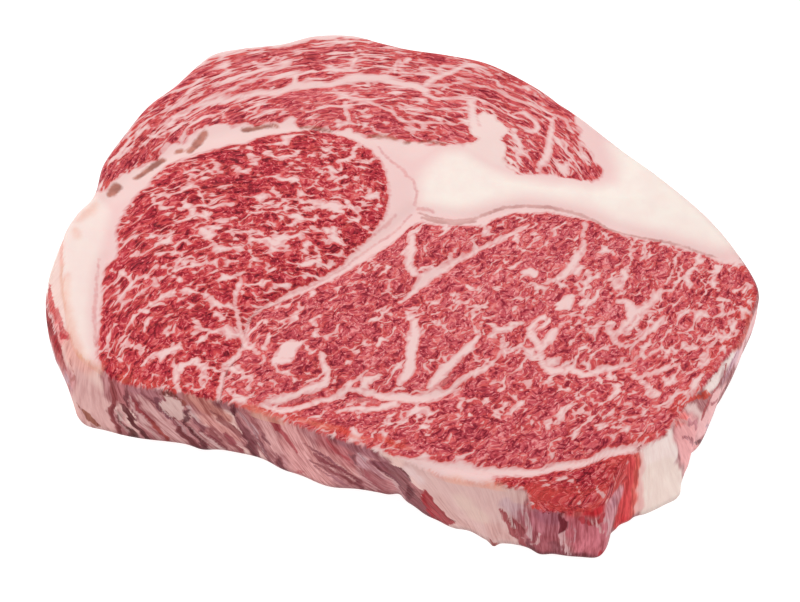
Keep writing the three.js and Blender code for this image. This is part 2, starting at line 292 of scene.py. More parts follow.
CAP_MUSCLE = [
    (-88.3, 32), (-90, 40), (-84, 52), (-76.2, 65.1), (-68.9, 72.3), (-63.3, 75.4), (-58.3, 78),
    (-54.2, 80.8), (-45.4, 84.5), (-38.3, 85.7), (-32.6, 87), (-25.4, 89.1), (-17.9, 89.8),
    (-11.3, 89.7), (-6.2, 91.2), (2.5, 90.5), (14.4, 87.7), (26.7, 83.7), (40.8, 74.6), (48.5, 65.5),
    (49, 60.4), (48.8, 56.3), (49.9, 51.2), (51, 46), (52.8, 42), (55.5, 36.5), (54.4, 34.4),
    (47, 34.4), (43.3, 36.7), (33.3, 36), (30.2, 39.5), (28.6, 42.5), (30.6, 46), (29, 49),
    (30.6, 52.4), (28.4, 56), (26.6, 58.4), (23.4, 60), (21, 57.6), (22, 54.6), (19.4, 52),
    (21.4, 49.4), (19.4, 46.7), (14, 46.7), (6, 47.8), (-0.6, 49.7), (-9.4, 51), (-12, 52.8),
    (-19.4, 53.9), (-28.3, 55), (-30, 58.3), (-34.4, 56.1), (-46.7, 55), (-53.9, 55), (-56.7, 52.8),
    (-61, 48.3), (-63.9, 47.8), (-66, 45), (-68.3, 42.2), (-73.3, 38.9), (-77.8, 35), (-81, 30),
]
FLAP_MUSCLE = [
    (23, -64.6), (30, -64), (37, -63.2), (44, -61), (51, -58.4), (58.4, -56), (58.4, -66), (56, -80),
    (40, -84), (28, -80), (24, -70),
]
MUSCLES = [LEFT_MUSCLE, RIGHT_MUSCLE, CAP_MUSCLE, FLAP_MUSCLE]
LONG, FLAP = 1, 3       # the long muscle and the flap, by their place in that list

# Fat that runs through the muscles, as strokes of x, y and full width: first the long seams.
FAT_SEAMS = [
    [(6, 21, 8), (1, 18.5, 7), (-4, 12.5, 6), (-9, 7.5, 5), (-15, 1.5, 3.4), (-20, -2, 2.8),
     (-25, -5, 2.2), (-30, -8, 2), (-35, -11, 1.4), (-38, -14, 0.8)],
    [(-39.5, -24, 2), (-37, -26.5, 1.4), (-34, -29, 0.8)],
    [(-8, -58, 0.8), (0, -59.6, 2.4), (10, -61.4, 3), (20, -62.8, 3), (27, -63.2, 2.8),
     (35, -62.5, 2.6), (43, -60.5, 2.6), (50, -58, 2.6), (57, -55.8, 2.4)],
    [(-41.8, -2, 1.6), (-42.2, -4.8, 2.1), (-42.8, -7.5, 1.6), (-42.7, -10.2, 1.1), (-42.3, -12.9, 1.3),
     (-41.6, -15.6, 1.6), (-40.9, -18.6, 1.3), (-40, -21.6, 1.6), (-39.4, -24.2, 1.9),
     (-40.3, -25.5, 1.6), (-41.2, -27.4, 1.9), (-42.4, -29.3, 1.6), (-43.3, -31.3, 1.1)],
    [(-43.9, -31.3, 1.2), (-44.4, -34, 1.5), (-44.8, -38, 1.6), (-45, -42, 1.6), (-45.6, -45, 1)],
    [(-38.6, -14, 0.9), (-39, -17, 1.2), (-39.3, -20, 1.2), (-39.3, -22.5, 1.2)],
    [(-40.7, -31.6, 1.9), (-39.6, -33.8, 1.3), (-38.3, -35.7, 1.1)],
    [(-63.7, 58.3, 2.1), (-61.6, 60.3, 1.3), (-59.5, 62.3, 1.6), (-55.4, 63.9, 2.1), (-48.4, 65.6, 2.4),
     (-42.8, 67.2, 2.7), (-37.1, 68.4, 2.7), (-31.5, 70.1, 3.2), (-25.8, 71.3, 3.2), (-20.1, 71.8, 2.9),
     (-15.8, 73, 3.2), (-11.5, 74.7, 3.5), (-5.7, 73.8, 3.2), (0, 72.6, 2.9), (4.3, 70.9, 3.2),
     (6.9, 68.9, 3.7)],
    [(-50.8, 67.2, 0.8), (-47.2, 69.7, 1.3), (-44.5, 72.2, 1.6), (-42.2, 73.8, 1.3), (-39.4, 75.5, 1.3),
     (-36.9, 76.8, 1.3), (-34.1, 78, 1.1), (-31.3, 79.7, 0.8)],
    [(-29.8, 72.2, 2.4), (-29.9, 75.1, 1.9), (-28.8, 76.8, 0.8)],
    [(6.9, 70.5, 2.1), (9.8, 73.4, 1.9), (13.5, 75.5, 2.4), (17.3, 76.8, 2.1), (20.5, 77.6, 1.6),
     (23.1, 77.6, 0.8)],
    [(8, 70.9, 1.3), (14.3, 71.3, 1.1), (20.1, 71.3, 1.1), (24.9, 70.5, 1.1), (27.7, 68.9, 1.3),
     (30.5, 67.2, 1.6), (33, 65.6, 1.6), (36.1, 63.9, 1.3), (39.7, 62.3, 1.3), (43, 60.7, 1.1)],
    [(7.1, 67.2, 2.1), (10.2, 65.6, 2.1), (14.2, 65.6, 1.9), (18.8, 66, 1.6), (21, 65.2, 2.4)],
    [(20.2, 63.9, 2.7), (20.3, 59.9, 2.7), (20.8, 55.9, 3.2), (21.3, 51.1, 3.2)],
    [(-22, 68.4, 1.1), (-19.1, 67.6, 1.9), (-16.2, 66.8, 1.9), (-13.7, 65.2, 1.9), (-10.2, 63.9, 1.6),
     (-5.9, 61.9, 1.3), (-2.8, 59.5, 1.3), (-0.6, 57.1, 1.1), (2.2, 55.1, 1.1), (5.6, 52.7, 1.1),
     (9, 51.5, 1.1), (12, 51.1, 0.8)],
    [(-15.3, 63.9, 1.3), (-15.6, 60.7, 1.3), (-15, 58.3, 1.6), (-14.1, 55.5, 1.6)],
    [(-2.3, 62.3, 0.5), (1.4, 61.1, 1.1), (7.9, 60.3, 1.1), (13.6, 60.7, 1.1), (19, 61.5, 1.1)],
    [(0.8, 58.3, 0.5), (3.4, 56.7, 1.1), (5.9, 55.5, 1.1), (12.1, 54.3, 1.1), (16.9, 55.1, 1.1),
     (20, 55.5, 1.3)],
    [(31.9, 59.1, 1.1), (35.3, 59.1, 1.6), (37.5, 57.1, 1.9), (38.5, 54.3, 1.9), (37.5, 52.3, 1.9),
     (35.3, 52.3, 1.3), (33.4, 53.9, 1.1)],
    [(43.1, 57.1, 1.3), (42.6, 52.7, 1.9), (41.8, 48.8, 2.4), (41.3, 44.9, 2.4), (40.4, 41.8, 2.9),
     (38.6, 38.7, 2.1)],
    [(43.1, 57.1, 0.8), (45.1, 57.9, 1.1), (46.7, 56.3, 1.1), (47.7, 53.1, 1.1), (48.4, 50.7, 0.5)],
    [(3.6, -16.3, 2.1), (3.6, -20.2, 2.9), (3.3, -24.2, 3.5), (2.5, -27.4, 3.5), (2.5, -30.6, 3.2),
     (2, -33.8, 3.2), (0, -36.3, 2.7)],
    [(20.4, -21.6, 1.3), (18.8, -24.2, 2.4), (16.2, -26.8, 2.9), (13.9, -29.3, 2.9), (11.8, -32.2, 2.9),
     (9.5, -35.1, 2.7), (7.5, -37.6, 1.9)],
    [(26.3, -21.2, 1.3), (25.9, -25.1, 1.1), (24.5, -28.4, 1.1), (22.7, -30.6, 1.6), (20.4, -32.2, 1.9),
     (18.1, -33.8, 1.9), (16, -35.7, 1.6), (13.7, -37.6, 1.6), (11.7, -38.9, 1.6)],
    [(0, -41, 4), (3, -41.3, 3.7), (6.2, -40.7, 3.5), (9.2, -39.8, 2.9), (12, -38.9, 2.1),
     (14, -38.2, 1.6)],
    [(-20, -28.4, 2.1), (-19.1, -31.6, 2.1), (-18.3, -34.4, 2.1), (-18.5, -36.7, 2.4),
     (-19.9, -37.9, 2.4), (-22.4, -38.9, 2.7), (-25.4, -40.1, 2.4), (-27.8, -41.3, 2.4),
     (-31, -42.6, 2.1), (-34.1, -43.5, 1.3)],
    [(-33.9, -44.1, 1.3), (-28.4, -45.4, 2.7), (-24.7, -44.4, 2.4), (-21, -42.9, 1.9),
     (-18.6, -41.7, 1.9), (-15.7, -40.4, 1.9), (-13.7, -38.9, 2.1), (-12.5, -37, 2.1),
     (-10, -35.1, 1.3), (-7, -32.9, 0.8)],
    [(-12, -38.9, 1.6), (-8.7, -39.8, 1.9), (-5, -40.4, 2.4), (-1.2, -40.7, 3.7)],
    [(-16, -46, 1.1), (-12.3, -45.4, 1.6), (-8.6, -44.8, 1.9), (-4.9, -44.1, 2.4), (-1.2, -43.2, 3.2)],
    [(37.3, -15.6, 1.6), (34.9, -16.3, 1.9), (33.3, -18.9, 2.4), (33.6, -21.9, 2.4), (35.1, -24.2, 2.1),
     (35.4, -26.8, 1.9), (33.6, -28.7, 2.1), (31.9, -27.4, 1.6)],
    [(40.9, -18.6, 1.1), (39.1, -19.9, 2.4), (37.4, -22.5, 2.7), (36, -25.1, 2.1), (35.4, -27.4, 1.9),
     (36.5, -30.9, 2.4), (38.4, -32.9, 3.2), (41, -32.2, 2.7)],
    [(43.5, -31.6, 2.9), (45.7, -33.5, 2.9), (47.7, -33.5, 2.4), (51.5, -31.9, 2.1), (54.1, -31.3, 1.9),
     (56.7, -30.3, 1.3), (58.7, -30, 0.8), (60.8, -26.8, 0.8), (62.2, -25.1, 1.1)],
    [(-0.5, -10.2, 1.3), (3.9, -6.2, 2.4), (6.3, -2.4, 4), (10.5, 0.7, 2.9), (14.5, 3.9, 1.9),
     (18.5, 6.3, 1.9), (21.2, 8.5, 2.1), (25.3, 10.6, 1.6), (28.8, 13.5, 1.9), (32.1, 15.6, 1.9),
     (34.3, 17.1, 1.6)],
    [(3.2, 12, 2.1), (2.9, 7, 2.9), (2.4, 2.8, 2.4), (3.7, -0.7, 2.7)],
    [(49.6, 17.1, 1.9), (48.8, 13.5, 1.3), (48.9, 10.2, 1.1), (48.4, 7, 1.9), (46.7, 4.2, 2.4),
     (44.9, 0.7, 3.2), (42.6, -2, 2.4), (39.9, -4.1, 1.6), (38.3, -4.8, 1.1)],
    [(56.2, -9.9, 1.6), (58.5, -10.2, 2.1), (59.8, -12.6, 3.2), (59.1, -15.6, 2.9), (62.3, -13.6, 2.9),
     (64.6, -11.6, 1.6), (66, -9.6, 2.1), (67.6, -6.8, 1.9), (70.8, -6.2, 1.1)],
    [(60.1, -15.3, 2.4), (58.2, -17.6, 2.1), (56.2, -20.2, 1.9), (54.2, -22.5, 2.1), (54.8, -24.5, 1.6),
     (57.1, -25.1, 1.3), (59.7, -24.2, 1.1), (61.1, -22.5, 0.8)],
    [(68.3, -15.9, 1.6), (66.6, -17.6, 2.1), (64.4, -19.6, 2.4), (62.5, -20.9, 2.1),
     (61.4, -22.5, 1.6)],
    [(70, -30.6, 0.8), (67.4, -31.9, 1.3), (64.5, -33.5, 1.6), (62.1, -34.8, 1.6), (60, -36, 1.3),
     (61.8, -38.9, 1.9), (63.4, -40.4, 2.1), (62.3, -41.3, 1.6)],
]
# Then the blades, flecks and patches, muscle by muscle.
LEFT_FLECKS = [
    [(-71, 5.3, 1.3), (-69.2, 6, 1.3)], [(-64.5, 5.6, 1.3), (-63.9, 5.6, 1.1)],
    [(-75.3, 0.7, 1.1), (-74.4, -0.7, 1.1), (-72.9, -0.3, 1.6), (-71.1, -2.4, 1.9), (-69.9, -4.4, 1.6),
     (-70.8, -6.2, 1.1), (-71.6, -7.9, 0.8)],
    [(-66.4, -2, 1.1), (-64.5, -3.4, 1.3), (-63.3, -5.5, 1.1)],
    [(-62.2, 0.7, 1.1), (-60.2, -1, 0.8), (-58.8, -2.7, 1.3), (-56.9, -3.8, 1.1)],
    [(-61.4, -8.9, 1.3), (-59.7, -7.9, 1.1), (-57.7, -7.2, 1.1), (-56.4, -7.2, 1.3), (-55.1, -6.5, 2.4),
     (-52.7, -7.5, 2.1), (-50.8, -8.9, 1.6), (-49.8, -7.9, 0.8)],
    [(-64.1, -11.2, 1.3), (-62, -11.6, 1.3), (-59.8, -12.9, 1.1)],
    [(-67, -13.9, 1.1), (-65.2, -13.6, 1.6), (-63.5, -15.6, 0.8)],
    [(-47.6, -13.9, 1.1), (-46.5, -15.3, 1.6), (-45.7, -16.9, 0.8)],
    [(-47.8, -3.8, 1.3), (-47.1, -5.5, 1.3)], [(-55.9, 3.9, 1.6), (-55.3, 2.8, 1.1)],
    [(-44.7, -31.9, 1.1), (-42.2, -32.5, 2.1), (-40.2, -32.5, 2.1)],
    [(-53.1, -16.9, 1.6), (-51.9, -18.9, 1.6)],
    [(-52.8, -21.2, 1.3), (-51.1, -20.2, 1.3), (-48.5, -19.9, 0.8), (-46.5, -20.2, 1.3)],
    [(-69.3, -24.5, 1.1), (-67.4, -25.8, 1.6), (-65.8, -26.8, 1.3), (-64.7, -25.5, 1.1)],
    [(-71.7, -29, 1.3), (-71.1, -29.3, 1.1)],
    [(-57.2, -27.4, 1.3), (-56.7, -30.6, 1.3), (-56.2, -33.8, 1.3), (-55.7, -36.3, 1.9),
     (-55.3, -38.9, 1.9), (-55.4, -40.7, 1.3)],
    [(-51, -29.3, 1.1), (-50, -31.9, 1.6), (-48.9, -34.4, 1.9), (-50.2, -36.3, 1.3)],
    [(-63, -30.3, 0.8), (-61.1, -29, 0.8)], [(-75.2, -21.6, 1.3), (-73.3, -22.9, 0.8)],
    [(-42.8, -39.5, 1.6), (-41, -40.4, 2.1), (-39.7, -41.3, 1.3)],
    [(-57.1, 36.4, 1.3), (-54.8, 35.3, 1.9), (-53.1, 33.4, 1.3)],
    [(-53.5, 40.2, 0.8), (-53.7, 37.9, 0.8), (-52.1, 35.6, 1.1), (-49.9, 34.9, 0.8), (-47.7, 35.6, 0.8),
     (-46.5, 37.9, 0.8)],
    [(-46.1, 35.3, 1.3), (-44.5, 37.2, 1.3), (-42.8, 36, 1.9), (-40.9, 36.4, 1.6)],
    [(-42.8, 41, 1.3), (-40.9, 41.8, 1.6), (-39.2, 40.2, 1.1)],
    [(-67.4, 28.1, 1.1), (-66.9, 25.1, 1.3), (-66.2, 23.3, 1.1), (-64.2, 22.5, 1.3), (-61.5, 22.2, 1.3),
     (-59.3, 21.8, 0.8)],
    [(-58.7, 24, 1.6), (-56.7, 22.9, 2.1), (-55.5, 21.4, 1.6), (-55.7, 20, 1.9), (-54.8, 18.2, 1.3)],
    [(-54, 23.3, 0.8), (-50.8, 22.9, 1.1), (-47.3, 23.7, 1.6), (-44.9, 23.7, 1.3)],
    [(-52.7, 14.9, 2.9), (-51.7, 12.7, 2.4)],
    [(-51.9, 15.6, 2.1), (-50, 15.6, 2.1), (-48.7, 14.9, 1.3), (-45.9, 13.8, 1.1), (-44.5, 12.7, 1.9),
     (-43.4, 11.3, 1.6)],
    [(-47.8, 18.2, 1.1), (-45.1, 18.2, 1.6), (-42.4, 18.2, 1.1)],
    [(-68.4, 12, 0.8), (-63.9, 11.7, 0.8), (-61.8, 12, 0.8)], [(-57.2, 10.6, 1.6), (-55.8, 9.5, 1.3)],
    [(-40.6, 41.4, 1.9), (-38.2, 41.8, 1.6), (-36.6, 43.3, 1.3), (-34.4, 44.1, 1.1), (-32.5, 46, 0.8)],
    [(-36.6, 44.9, 0.5), (-33.4, 46.8, 0.8), (-32.3, 48.8, 0.5)],
    [(-28.4, 40.2, 1.3), (-26.2, 41, 1.3), (-24.1, 41.8, 1.3), (-22.2, 43.3, 1.3), (-20.6, 45.6, 1.1),
     (-18.7, 47.6, 0.8), (-16.5, 49.9, 0.5)],
    [(-29.8, 39.1, 1.9), (-30.8, 37.2, 1.3)],
    [(-16.6, 40.2, 1.3), (-14.9, 40.2, 1.9), (-13.3, 41, 1.9), (-12.5, 44.1, 1.6), (-11.7, 47.2, 1.3)],
    [(-23.1, 36.4, 1.1), (-20.6, 35.6, 0.8)], [(-29.5, 31.5, 1.9), (-28.4, 32.6, 1.3)],
    [(-34.8, 28.8, 1.6), (-33.4, 27.7, 1.9), (-32.3, 26.2, 1.3), (-31.7, 25.5, 1.3), (-29, 25.1, 1.1),
     (-26.3, 25.1, 1.3), (-23.8, 24.4, 1.6), (-21.1, 23.3, 2.4), (-18.9, 22.9, 1.9),
     (-18.6, 20.7, 1.3)],
    [(-17.5, 19.3, 2.1), (-15.9, 20.3, 1.6), (-14.9, 22.9, 1.3), (-14.9, 25.5, 1.1), (-16, 26.6, 1.1)],
    [(-14.9, 24, 1.1), (-13, 25.1, 1.1)], [(-17.2, 32.2, 1.6), (-15.6, 33, 1.3), (-14.5, 34.1, 1.1)],
    [(-23.1, 28.8, 1.1), (-21.5, 29.2, 1.6)], [(-9.3, 29.6, 1.3), (-8.2, 28.1, 1.6), (-9.2, 26.2, 1.1)],
    [(-10, 23.7, 1.3), (-7.6, 23.7, 1.1), (-5.4, 22.9, 0.8)],
    [(-23.8, 15.6, 1.3), (-21.4, 14.5, 1.6), (-19.2, 14.2, 2.1), (-18.4, 12.4, 1.3)],
    [(-28.7, 16.7, 1.3), (-27.6, 15.6, 1.3)],
    [(-35.1, 9.9, 1.3), (-33.5, 10.6, 3.5), (-31.1, 11.7, 2.9), (-28.5, 12, 2.4), (-26.1, 12.4, 1.6)],
    [(-33.1, 8.5, 2.4), (-30.2, 8.5, 1.9)], [(-24.9, 9.2, 1.6), (-24.4, 9.2, 1.1)],
    [(-22, 8.1, 1.6), (-21.9, 5.3, 1.9), (-21.6, 2.8, 1.3)],
    [(-38.5, 4.2, 1.6), (-36.9, 3.5, 1.3), (-35, 2.1, 1.9), (-33.6, 0.7, 1.3)],
    [(-39.8, 9.5, 1.3), (-38.2, 9.5, 1.1)],
    [(-32.6, -4.4, 1.6), (-29.7, -4.4, 1.6), (-28.4, -4.1, 1.1)],
    [(-25.1, -1, 1.6), (-24.9, -1.3, 1.3)], [(-9.4, -3.8, 1.3), (-8.9, -3.8, 1.1)],
]
RIGHT_FLECKS = [
    [(20.7, 8.5, 1.6), (19.7, 11.3, 1.3), (22.4, 13.8, 1.1)],
    [(31, 13.5, 1.1), (31.3, 9.2, 1.6), (32.3, 7, 1.6), (34.3, 5.6, 0.8)],
    [(33.9, 7.8, 0.8), (35.3, 9.9, 1.1), (36.4, 10.6, 0.5)],
    [(25.8, 4.2, 0.5), (28.5, 5.6, 0.8), (30.4, 4.9, 0.5)],
    [(32.5, -1, 2.4), (34.3, -1, 3.5), (35.9, -1, 1.9)], [(24.1, 14.9, 1.3), (24.9, 15.3, 1.1)],
    [(18.9, -0.3, 1.3), (19.9, -2, 1.1)], [(17.7, -5.8, 1.3), (20.3, -7.2, 1.1)],
    [(24.4, -6.8, 1.6), (26, -7.5, 1.1)], [(13.5, -7.9, 1.3), (15, -8.2, 1.1)],
    [(4.4, -14.6, 1.3), (6.2, -13.9, 0.8)],
    [(14.2, -11.2, 1.1), (16.8, -10.6, 1.3), (17.5, -13.6, 1.1)],
    [(21.1, -12.9, 2.1), (22.2, -13.3, 1.6)], [(29.9, -14.3, 1.6), (29.4, -12.9, 1.1)],
    [(28.4, -4.8, 0.8), (27.6, -5.5, 0.8)],
    [(45, -1, 2.1), (48.6, 0.7, 2.1), (50, -0.7, 2.1), (49.6, -3.8, 1.3)],
    [(44, -9.2, 2.4), (42.6, -11.6, 3.2), (40.5, -13.3, 1.6)], [(47.8, -6.8, 1.6), (49.2, -6.2, 1.3)],
    [(55.3, -4.1, 1.6), (56.8, -4.4, 2.1), (59.1, -2, 0.8), (60.8, -1, 0.5)],
    [(63.7, 9.9, 1.1), (61.4, 7, 1.3), (60.3, 2.8, 1.1), (59.8, 0, 0.8)],
    [(71.6, 2.8, 1.6), (72.8, 4.6, 1.3), (74.1, 6.7, 1.1)],
    [(76.9, 1.1, 1.6), (75.4, -1, 2.1), (75.4, -4.1, 2.1), (76.2, -6.8, 0.8)],
    [(78, 0.7, 1.1), (79.1, -0.7, 0.8)], [(64.9, -2, 1.3), (65.9, -2.4, 1.3)],
    [(64.9, -4.8, 0.8), (65.4, -7.5, 1.3)],
    [(40.3, -15.6, 0.8), (43.7, -15.6, 1.1), (46.8, -14.3, 0.8), (51.5, -13.6, 0.8)],
    [(80.8, -9.2, 1.3), (82.6, -9.6, 2.7), (84.3, -10.6, 1.9), (86.1, -10.6, 1.1), (88.2, -12.6, 1.1)],
    [(78.5, -14.6, 1.1), (80.1, -16.3, 1.1), (82.7, -15.6, 1.1), (84.4, -14.3, 0.8)],
    [(78.5, -21.9, 1.1), (81, -22.5, 1.3), (84.1, -21.9, 1.6)],
    [(85.2, -18.6, 2.4), (86.3, -20.6, 2.4), (85.3, -22.2, 1.3)],
    [(76.5, -28.7, 1.6), (78, -28.4, 1.1)], [(74.1, -25.1, 1.3), (72.6, -26.8, 1.1)],
    [(70.9, -34.1, 0.8), (75.4, -32.5, 0.8), (79.5, -29.3, 0.8)],
    [(20, -17.6, 0.8), (21.8, -17.6, 1.3), (24.3, -19.3, 2.1), (26.8, -19.6, 2.4), (28.7, -18.6, 2.1),
     (30.8, -17.6, 1.3), (32.3, -16.3, 1.1)],
    [(17.9, -20.2, 0.8), (15.8, -21.2, 0.8)], [(38.1, -34.8, 2.1), (38.2, -37, 1.3)],
    [(49.8, -34.8, 1.3), (50.2, -36.3, 1.3), (51.1, -38.2, 0.8)],
    [(41, -18.3, 0.8), (43.6, -17.3, 0.8), (46.1, -17.6, 1.1), (48.6, -18.6, 1.1), (52.5, -18.6, 1.6),
     (54.3, -18.3, 1.6)],
    [(60.4, -18.6, 1.6), (61.3, -20.2, 1.3)], [(51.7, -25.8, 1.6), (52.2, -26.4, 1.3)],
    [(37.4, -29, 1.6), (37.6, -30, 1.1)], [(44.3, -26.8, 0.8), (44.4, -28.7, 0.8)],
    [(60.8, -26.8, 1.1), (62.1, -28.4, 1.6)],
    [(58.8, -26.1, 0.8), (60.9, -25.1, 1.3), (64, -24.5, 1.1), (67.1, -23.5, 1.1)],
    [(69.3, -22.2, 0.8), (70.9, -20.9, 0.8), (72.9, -21.6, 0.8)],
    [(72.7, -26.1, 1.6), (74, -25.5, 1.1)], [(63, -44.1, 1.1), (65.6, -43.2, 1.3), (68, -41, 1.6)],
    [(55.2, -39.5, 1.9), (53.4, -40.4, 1.6), (51.6, -41.7, 1.1)],
    [(47.3, -38.9, 1.3), (46.2, -40.1, 0.8)],
    [(41.1, -37.9, 0.8), (43.5, -40.1, 1.3), (43.9, -42, 0.8)],
    [(41.4, -45.7, 1.3), (43.3, -44.1, 1.1)],
    [(36.3, -50, 2.1), (38.3, -48.7, 1.9), (40.4, -46.6, 1.3)],
    [(50.6, -45.1, 1.1), (48.8, -46.6, 0.8)], [(54.3, -44.8, 1.1), (56.4, -43.2, 0.8)],
    [(60.3, -47.8, 1.1), (62.8, -46.6, 0.8), (64.6, -45.7, 0.8)],
    [(48.1, -50, 1.3), (51.6, -48.7, 1.1), (55.3, -47.8, 0.8), (58.6, -47.5, 0.5)],
    [(24.4, -38.9, 1.3), (25.2, -38.9, 1.1)], [(26, -44.1, 1.1), (27.2, -43.2, 0.8)],
    [(14.4, -43.2, 1.6), (15.6, -45.1, 1.1)],
    [(-31.3, -30, 2.9), (-29.3, -27.4, 4.5), (-26.9, -25.5, 4), (-24.6, -24.5, 1.3)],
    [(-31.2, -30.6, 2.1), (-27.7, -30, 2.9)],
    [(-33.6, -21.6, 1.3), (-33.6, -23.5, 1.9), (-34, -25.1, 1.3)],
    [(-26.7, -10.2, 1.3), (-26.3, -12.3, 1.6), (-26.8, -13.9, 1.1)],
    [(-22.3, -17.3, 1.1), (-21, -18.6, 1.6), (-21.7, -20.6, 0.8)],
    [(-9.7, -23.8, 1.1), (-8.1, -24.5, 1.3), (-7.1, -23.5, 0.8)],
    [(-10.1, -26.8, 1.1), (-12.1, -28.4, 1.1)], [(-6.9, -16.3, 1.9), (-6.7, -16.3, 1.6)],
    [(-3.4, -11.2, 1.6), (-3.6, -12.9, 1.1)], [(-0.3, -15.6, 1.6), (0.3, -15.6, 1.3)],
    [(-5.3, -24.5, 1.1), (-4.6, -23.5, 1.3), (-2, -23.8, 0.8)],
    [(-40.2, -40.7, 1.9), (-39.7, -40.7, 1.6)],
]
FLAP_FLECKS = [       # pale skins on the flap's top
    [(37, -64.5, 0.5), (39.4, -64.2, 0.9), (41.7, -65.7, 1), (43.6, -67.1, 0.7), (45.4, -67.7, 0.3)],
    [(47.8, -61.9, 0.1), (49.3, -60.4, 0.1), (51.7, -61.3, 0.2), (52.7, -63.6, 0.1)],
    [(47.1, -64.2, 0.2), (47.9, -66.3, 0.5), (49.8, -67.4, 0.5), (51.5, -66.3, 0.2)],
    [(33.6, -65.7, 0.1), (35.5, -66.6, 0.2), (37.3, -67.7, 0.1)],
    [(26.8, -66.8, 0.1), (29.2, -67.7, 0.1), (31.1, -68, 0.1)],
    [(54.8, -58.4, 0.1), (55.6, -60.7, 0.2), (54.9, -63.6, 0.1)],
    [(40.6, -68.9, 0.1), (43, -69.4, 0.1), (45.4, -69.2, 0.1)],
]
CAP_FLECKS = [
    [(-42.8, 79.7, 1.6), (-40.7, 78.4, 2.1), (-38.8, 79.3, 1.3), (-37.1, 80.6, 0.8)],
    [(-35.4, 81.4, 1.1), (-32.5, 82.3, 1.3), (-29.6, 83.1, 0.8)],
    [(-14, 84, 1.6), (-13.3, 81.4, 1.9), (-13.9, 78.4, 1.3)],
    [(-22.5, 77.6, 1.1), (-19.3, 78, 1.3), (-15.9, 78, 1.6), (-12.1, 77.2, 2.1)],
    [(-1.4, 80.1, 1.3), (-1.2, 76.3, 1.9)], [(1.2, 80.1, 1.1), (3.5, 81.8, 1.1), (5.8, 83.1, 0.8)],
    [(-45.4, 62.7, 1.1), (-44.2, 61.1, 1.6), (-42.4, 59.9, 0.8)],
    [(-50.1, 56.3, 1.1), (-49.4, 58.7, 0.8)],
    [(-70.2, 55.1, 0.5), (-68.5, 57.9, 0.8), (-66.7, 60.3, 0.8), (-64.6, 62.3, 0.5)],
    [(-69.3, 53.5, 0.5), (-67.5, 56.3, 0.8), (-65.5, 59.1, 0.5)],
    [(-61, 66.8, 0.8), (-59.4, 68.9, 1.6), (-57.2, 70.5, 1.3), (-58.1, 66.4, 1.3)],
    [(-60.3, 65.6, 0.5), (-62.4, 63.1, 0.8), (-64, 61.5, 0.5)],
    [(-70.4, 49.9, 1.6), (-68.5, 50.7, 2.1), (-66.5, 50.3, 1.6), (-65.6, 52.7, 1.1)],
    [(-73.5, 47.2, 0.8), (-71.6, 48, 1.3), (-69.6, 48, 1.1)],
    [(-77.4, 44.1, 1.6), (-76.6, 45.2, 2.1), (-75.3, 45.6, 1.1)],
    [(-80.1, 38.3, 0.8), (-79, 41, 1.1), (-77.5, 42.9, 0.8)], [(-66, 44.9, 1.9), (-64.6, 47.2, 1.6)],
    [(-16.9, 55.1, 1.1), (-18, 56.3, 1.1)], [(-12.1, 54.3, 1.1), (-12.7, 56.7, 1.1)],
    [(23.1, 76.3, 0.5), (26.5, 74.7, 0.8), (30.1, 73, 0.8), (34.3, 70.5, 0.8), (37.7, 68, 0.8),
     (40.7, 66, 0.5)],
    [(21.3, 75.1, 0.8), (24.1, 73.4, 1.1), (26.4, 72.6, 1.1), (29.5, 70.5, 0.8), (32.9, 68.9, 0.5)],
    [(28.4, 63.9, 0.5), (31.7, 61.9, 0.8), (35.1, 60.7, 0.5)],
    [(7, 57.5, 0.5), (11.3, 57.1, 0.5), (15.5, 57.9, 0.5)],
    [(4.3, 63.5, 0.5), (8.5, 62.7, 0.5), (13.1, 63.1, 0.5)], [(-4.2, 56.7, 0.8), (-3.4, 54.3, 1.1)],
    [(-7.8, 53.1, 1.1), (-5.6, 51.9, 0.8)], [(10.9, 68.4, 0.5), (12.9, 69.7, 0.8), (14.8, 68.4, 0.5)],
    [(31.9, 51.9, 1.9), (31.8, 49.5, 1.6)], [(31.1, 46.4, 1.3), (32.7, 44.9, 1.9), (35.5, 44.9, 1.3)],
    [(30.1, 41.4, 1.3), (31.1, 39.1, 1.3)], [(39.1, 49.9, 0.8), (39.2, 45.6, 0.8)],
    [(44.7, 49.9, 0.5), (46.1, 46, 0.8), (48.1, 42.5, 0.8), (50.2, 40.2, 0.5)],
    [(46.2, 52.7, 0.5), (47.9, 48, 0.5), (49.9, 44.1, 0.8), (51.9, 41, 0.5)],
    [(43.4, 41, 1.3), (45.5, 40.2, 1.1)], [(30.3, 78, 0.2), (32.3, 75.9, 0.5), (34.5, 73.8, 0.3)],
    [(-28.4, 63.9, 0.5), (-25, 64.4, 0.8), (-22.1, 63.5, 0.5)],
    [(-39.2, 63.9, 0.8), (-36.3, 62.7, 0.8), (-33.4, 62.3, 0.5)],
    [(-25.5, 60.7, 0.5), (-23.2, 61.5, 0.8), (-20.4, 61.9, 0.5)],
    [(-56.9, 57.5, 0.5), (-54.1, 57.9, 0.8), (-51.9, 57.9, 0.5)],
    [(-36.7, 59.1, 0.5), (-33.3, 58.7, 0.8), (-31.1, 59.1, 0.5)],
]

